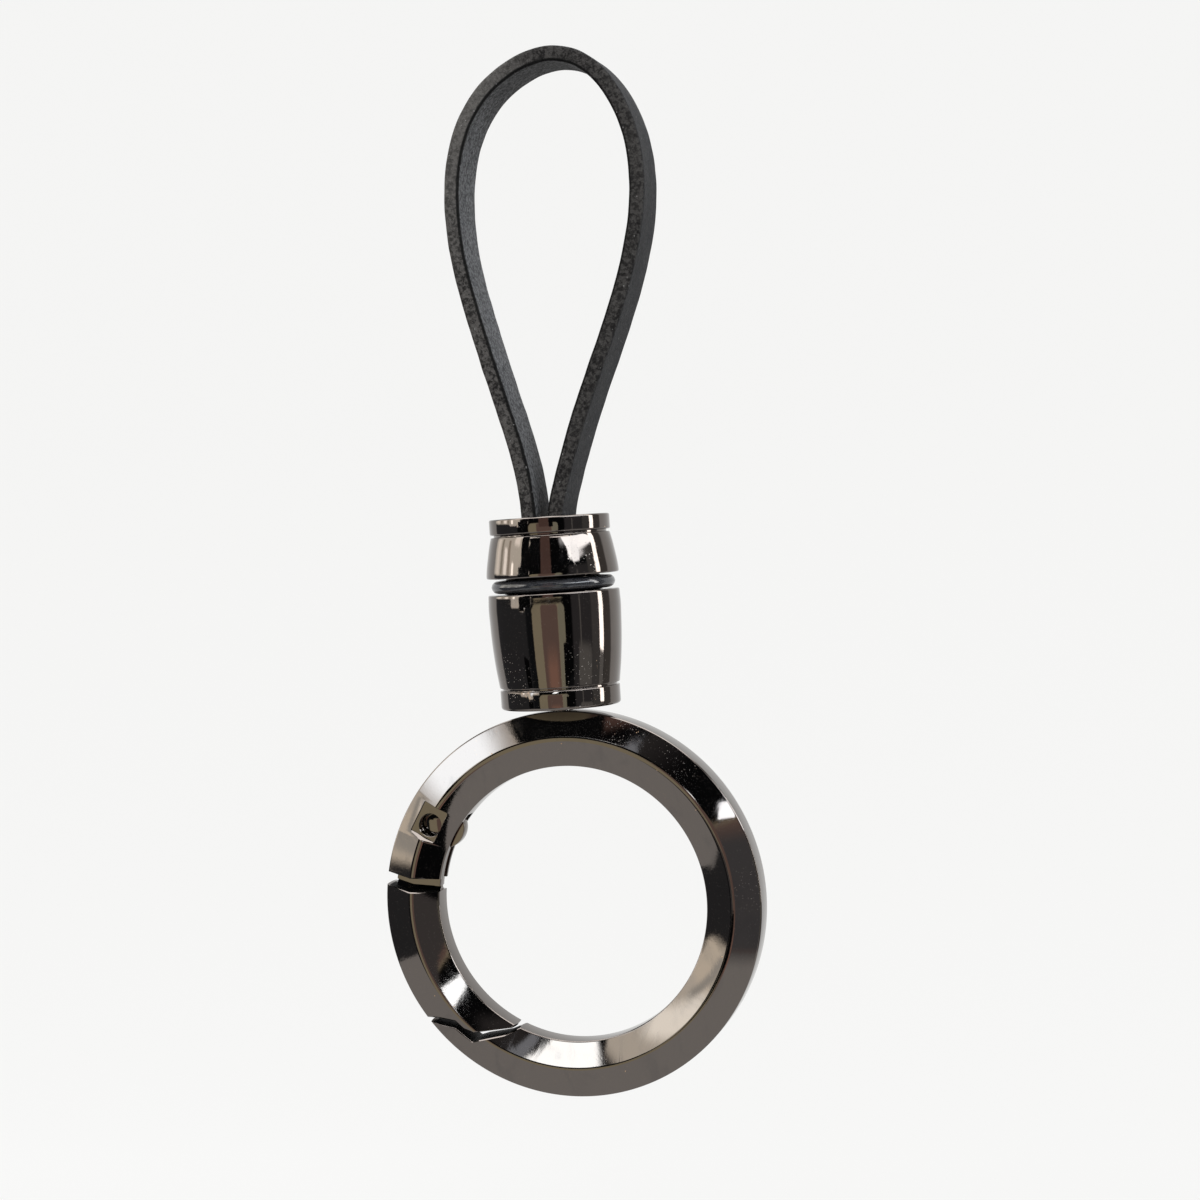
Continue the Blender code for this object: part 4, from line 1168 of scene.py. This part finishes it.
# Cards near the object, seen only in the metal: the middle of each, its half sizes and turn, its
# soft edges as shares of its half sizes, and its brightness. They stand, but for the floor.
cards = (
    ("card_left", (-0.0275, -0.1, -0.006), (0.0195, 0.026), 0, (0, 0), dark),
    ("card_slant", (-0.042, -0.1, -0.0118), (0.012, 0.018), 33.7, (0, 0), dark),
    ("card_middle", (0.0175, -0.1, -0.006), (0.0255, 0.026), 0, (0, 0), dark),
    ("card_brown", (0.0012, -0.05, -0.02225), (0.008, 0.02225), 0, (0.08, 0.08),
     (0.35, 0.22, 0.19)),
    ("card_cover", (0.0128, -0.05, -0.0375), (0.0036, 0.007), 0, (0, 0), dark),
    ("card_near", (-0.02135, -0.03, -0.02375), (0.00535, 0.02375), 0, (0, 0), dark),
    ("card_corner", (-0.02885, -0.03, -0.03895), (0.00215, 0.00245), 0, (0, 0), dark),
    ("card_low", (-0.02875, -0.03, -0.04555), (0.00425, 0.00405), 0, (0, 0), dark),
    ("card_white", (-0.079, -0.1, -0.032), (0.027, 0.015), -30, (0.62, 0.5), (6.5, 7.3, 8)),
    ("card_pale", (-0.0793, -0.1005, -0.032), (0.027, 0.015), -30, (0.06, 0.3), (2.1, 2.05, 1.95)),
    ("card_shade", (-0.005, -0.05, -0.0811), (0.007, 0.0031), 0, (0, 0), (0.22, 0.21, 0.215)),
    ("card_black", (-0.002, -0.05, -0.0881), (0.01, 0.0039), 0, (0, 0), dark),
    ("card_right", (0.019, -0.03, -0.079), (0.005, 0.013), 0, (0, 0.35), (0.24, 0.245, 0.265)),
    ("card_block", (0.015, -0.03, -0.06095), (0.004, 0.00455), 0, (0, 0), dark),
    ("card_spark", (0.0139, -0.015, -0.066), (0.001, 0.0011), 0, (0.2, 0.2), (7.5, 8.2, 9)),
    ("card_base", (-0.02875, -0.03, -0.063), (0.00425, 0.0034), 0, (0, 0), dark),
    ("card_floor", (-0.0125, 0.1, -0.11), (0.0825, 0.2), 0, (0.02, 0.02), (0.87, 0.868, 0.86)),
)


def buildCards():
    for name, middle, half, turn, soft, shade in cards:
        made, shader, place = newMaterial(name)
        fixed(shader, {"Base Color": rgb(0, 0, 0), "Specular IOR Level": 0.0, "Roughness": 1.0,
                       "Emission Color": rgb(*shade), "Emission Strength": 1.0})
        if any(soft):
            spot = place.node("SeparateXYZ", None, {0: place})
            mask = 1.0
            for axis, size, share in zip("XY", half, soft):
                if share:
                    mask = spot.out(axis).size().fade((1.0 - share) * size, size) * mask
            feed(shader, Alpha=mask)
        wide, tall = half
        card = meshObject(name, [(-wide, -tall, 0.0), (wide, -tall, 0.0), (wide, tall, 0.0),
                                 (-wide, tall, 0.0)], [(0, 1, 2, 3)], made)
        card.location = middle
        if name != "card_floor":
            upright = Matrix.Rotation(math.radians(90.0), 4, "X")
            card.rotation_euler = (Matrix.Rotation(math.radians(turn), 4, "Y") @ upright).to_euler()
        for kind in ("camera", "diffuse", "transmission", "shadow"):
            setattr(card, "visible_" + kind, False)


lights = {
    # Place, size, energy and colour of each lamp, and the point that they face
    "key": ((0.45, -0.30, 0.35), 0.30, 3.2, (0.92, 0.96, 1.0)),
    "left": ((-0.45, -0.35, 0.10), 0.35, 1.6, (1.0, 0.97, 0.93)),
    "aim": (0.0, 0.0, -0.05),
}


def buildLights():
    for name in ("key", "left"):
        place, size, energy, colour = lights[name]
        lamp = bpy.data.lights.new(name, "AREA")
        lamp.shape = "DISK"
        lamp.size = size
        lamp.energy = energy
        lamp.color = colour
        made = bpy.data.objects.new(name, lamp)
        made.location = place
        aim = Vector(lights["aim"]) - Vector(place)
        made.rotation_euler = aim.to_track_quat("-Z", "Y").to_euler()
        made.visible_glossy = False
        scene.collection.objects.link(made)


buildStage()
buildRoom()
buildCards()
buildLights()
print("stage and light set")
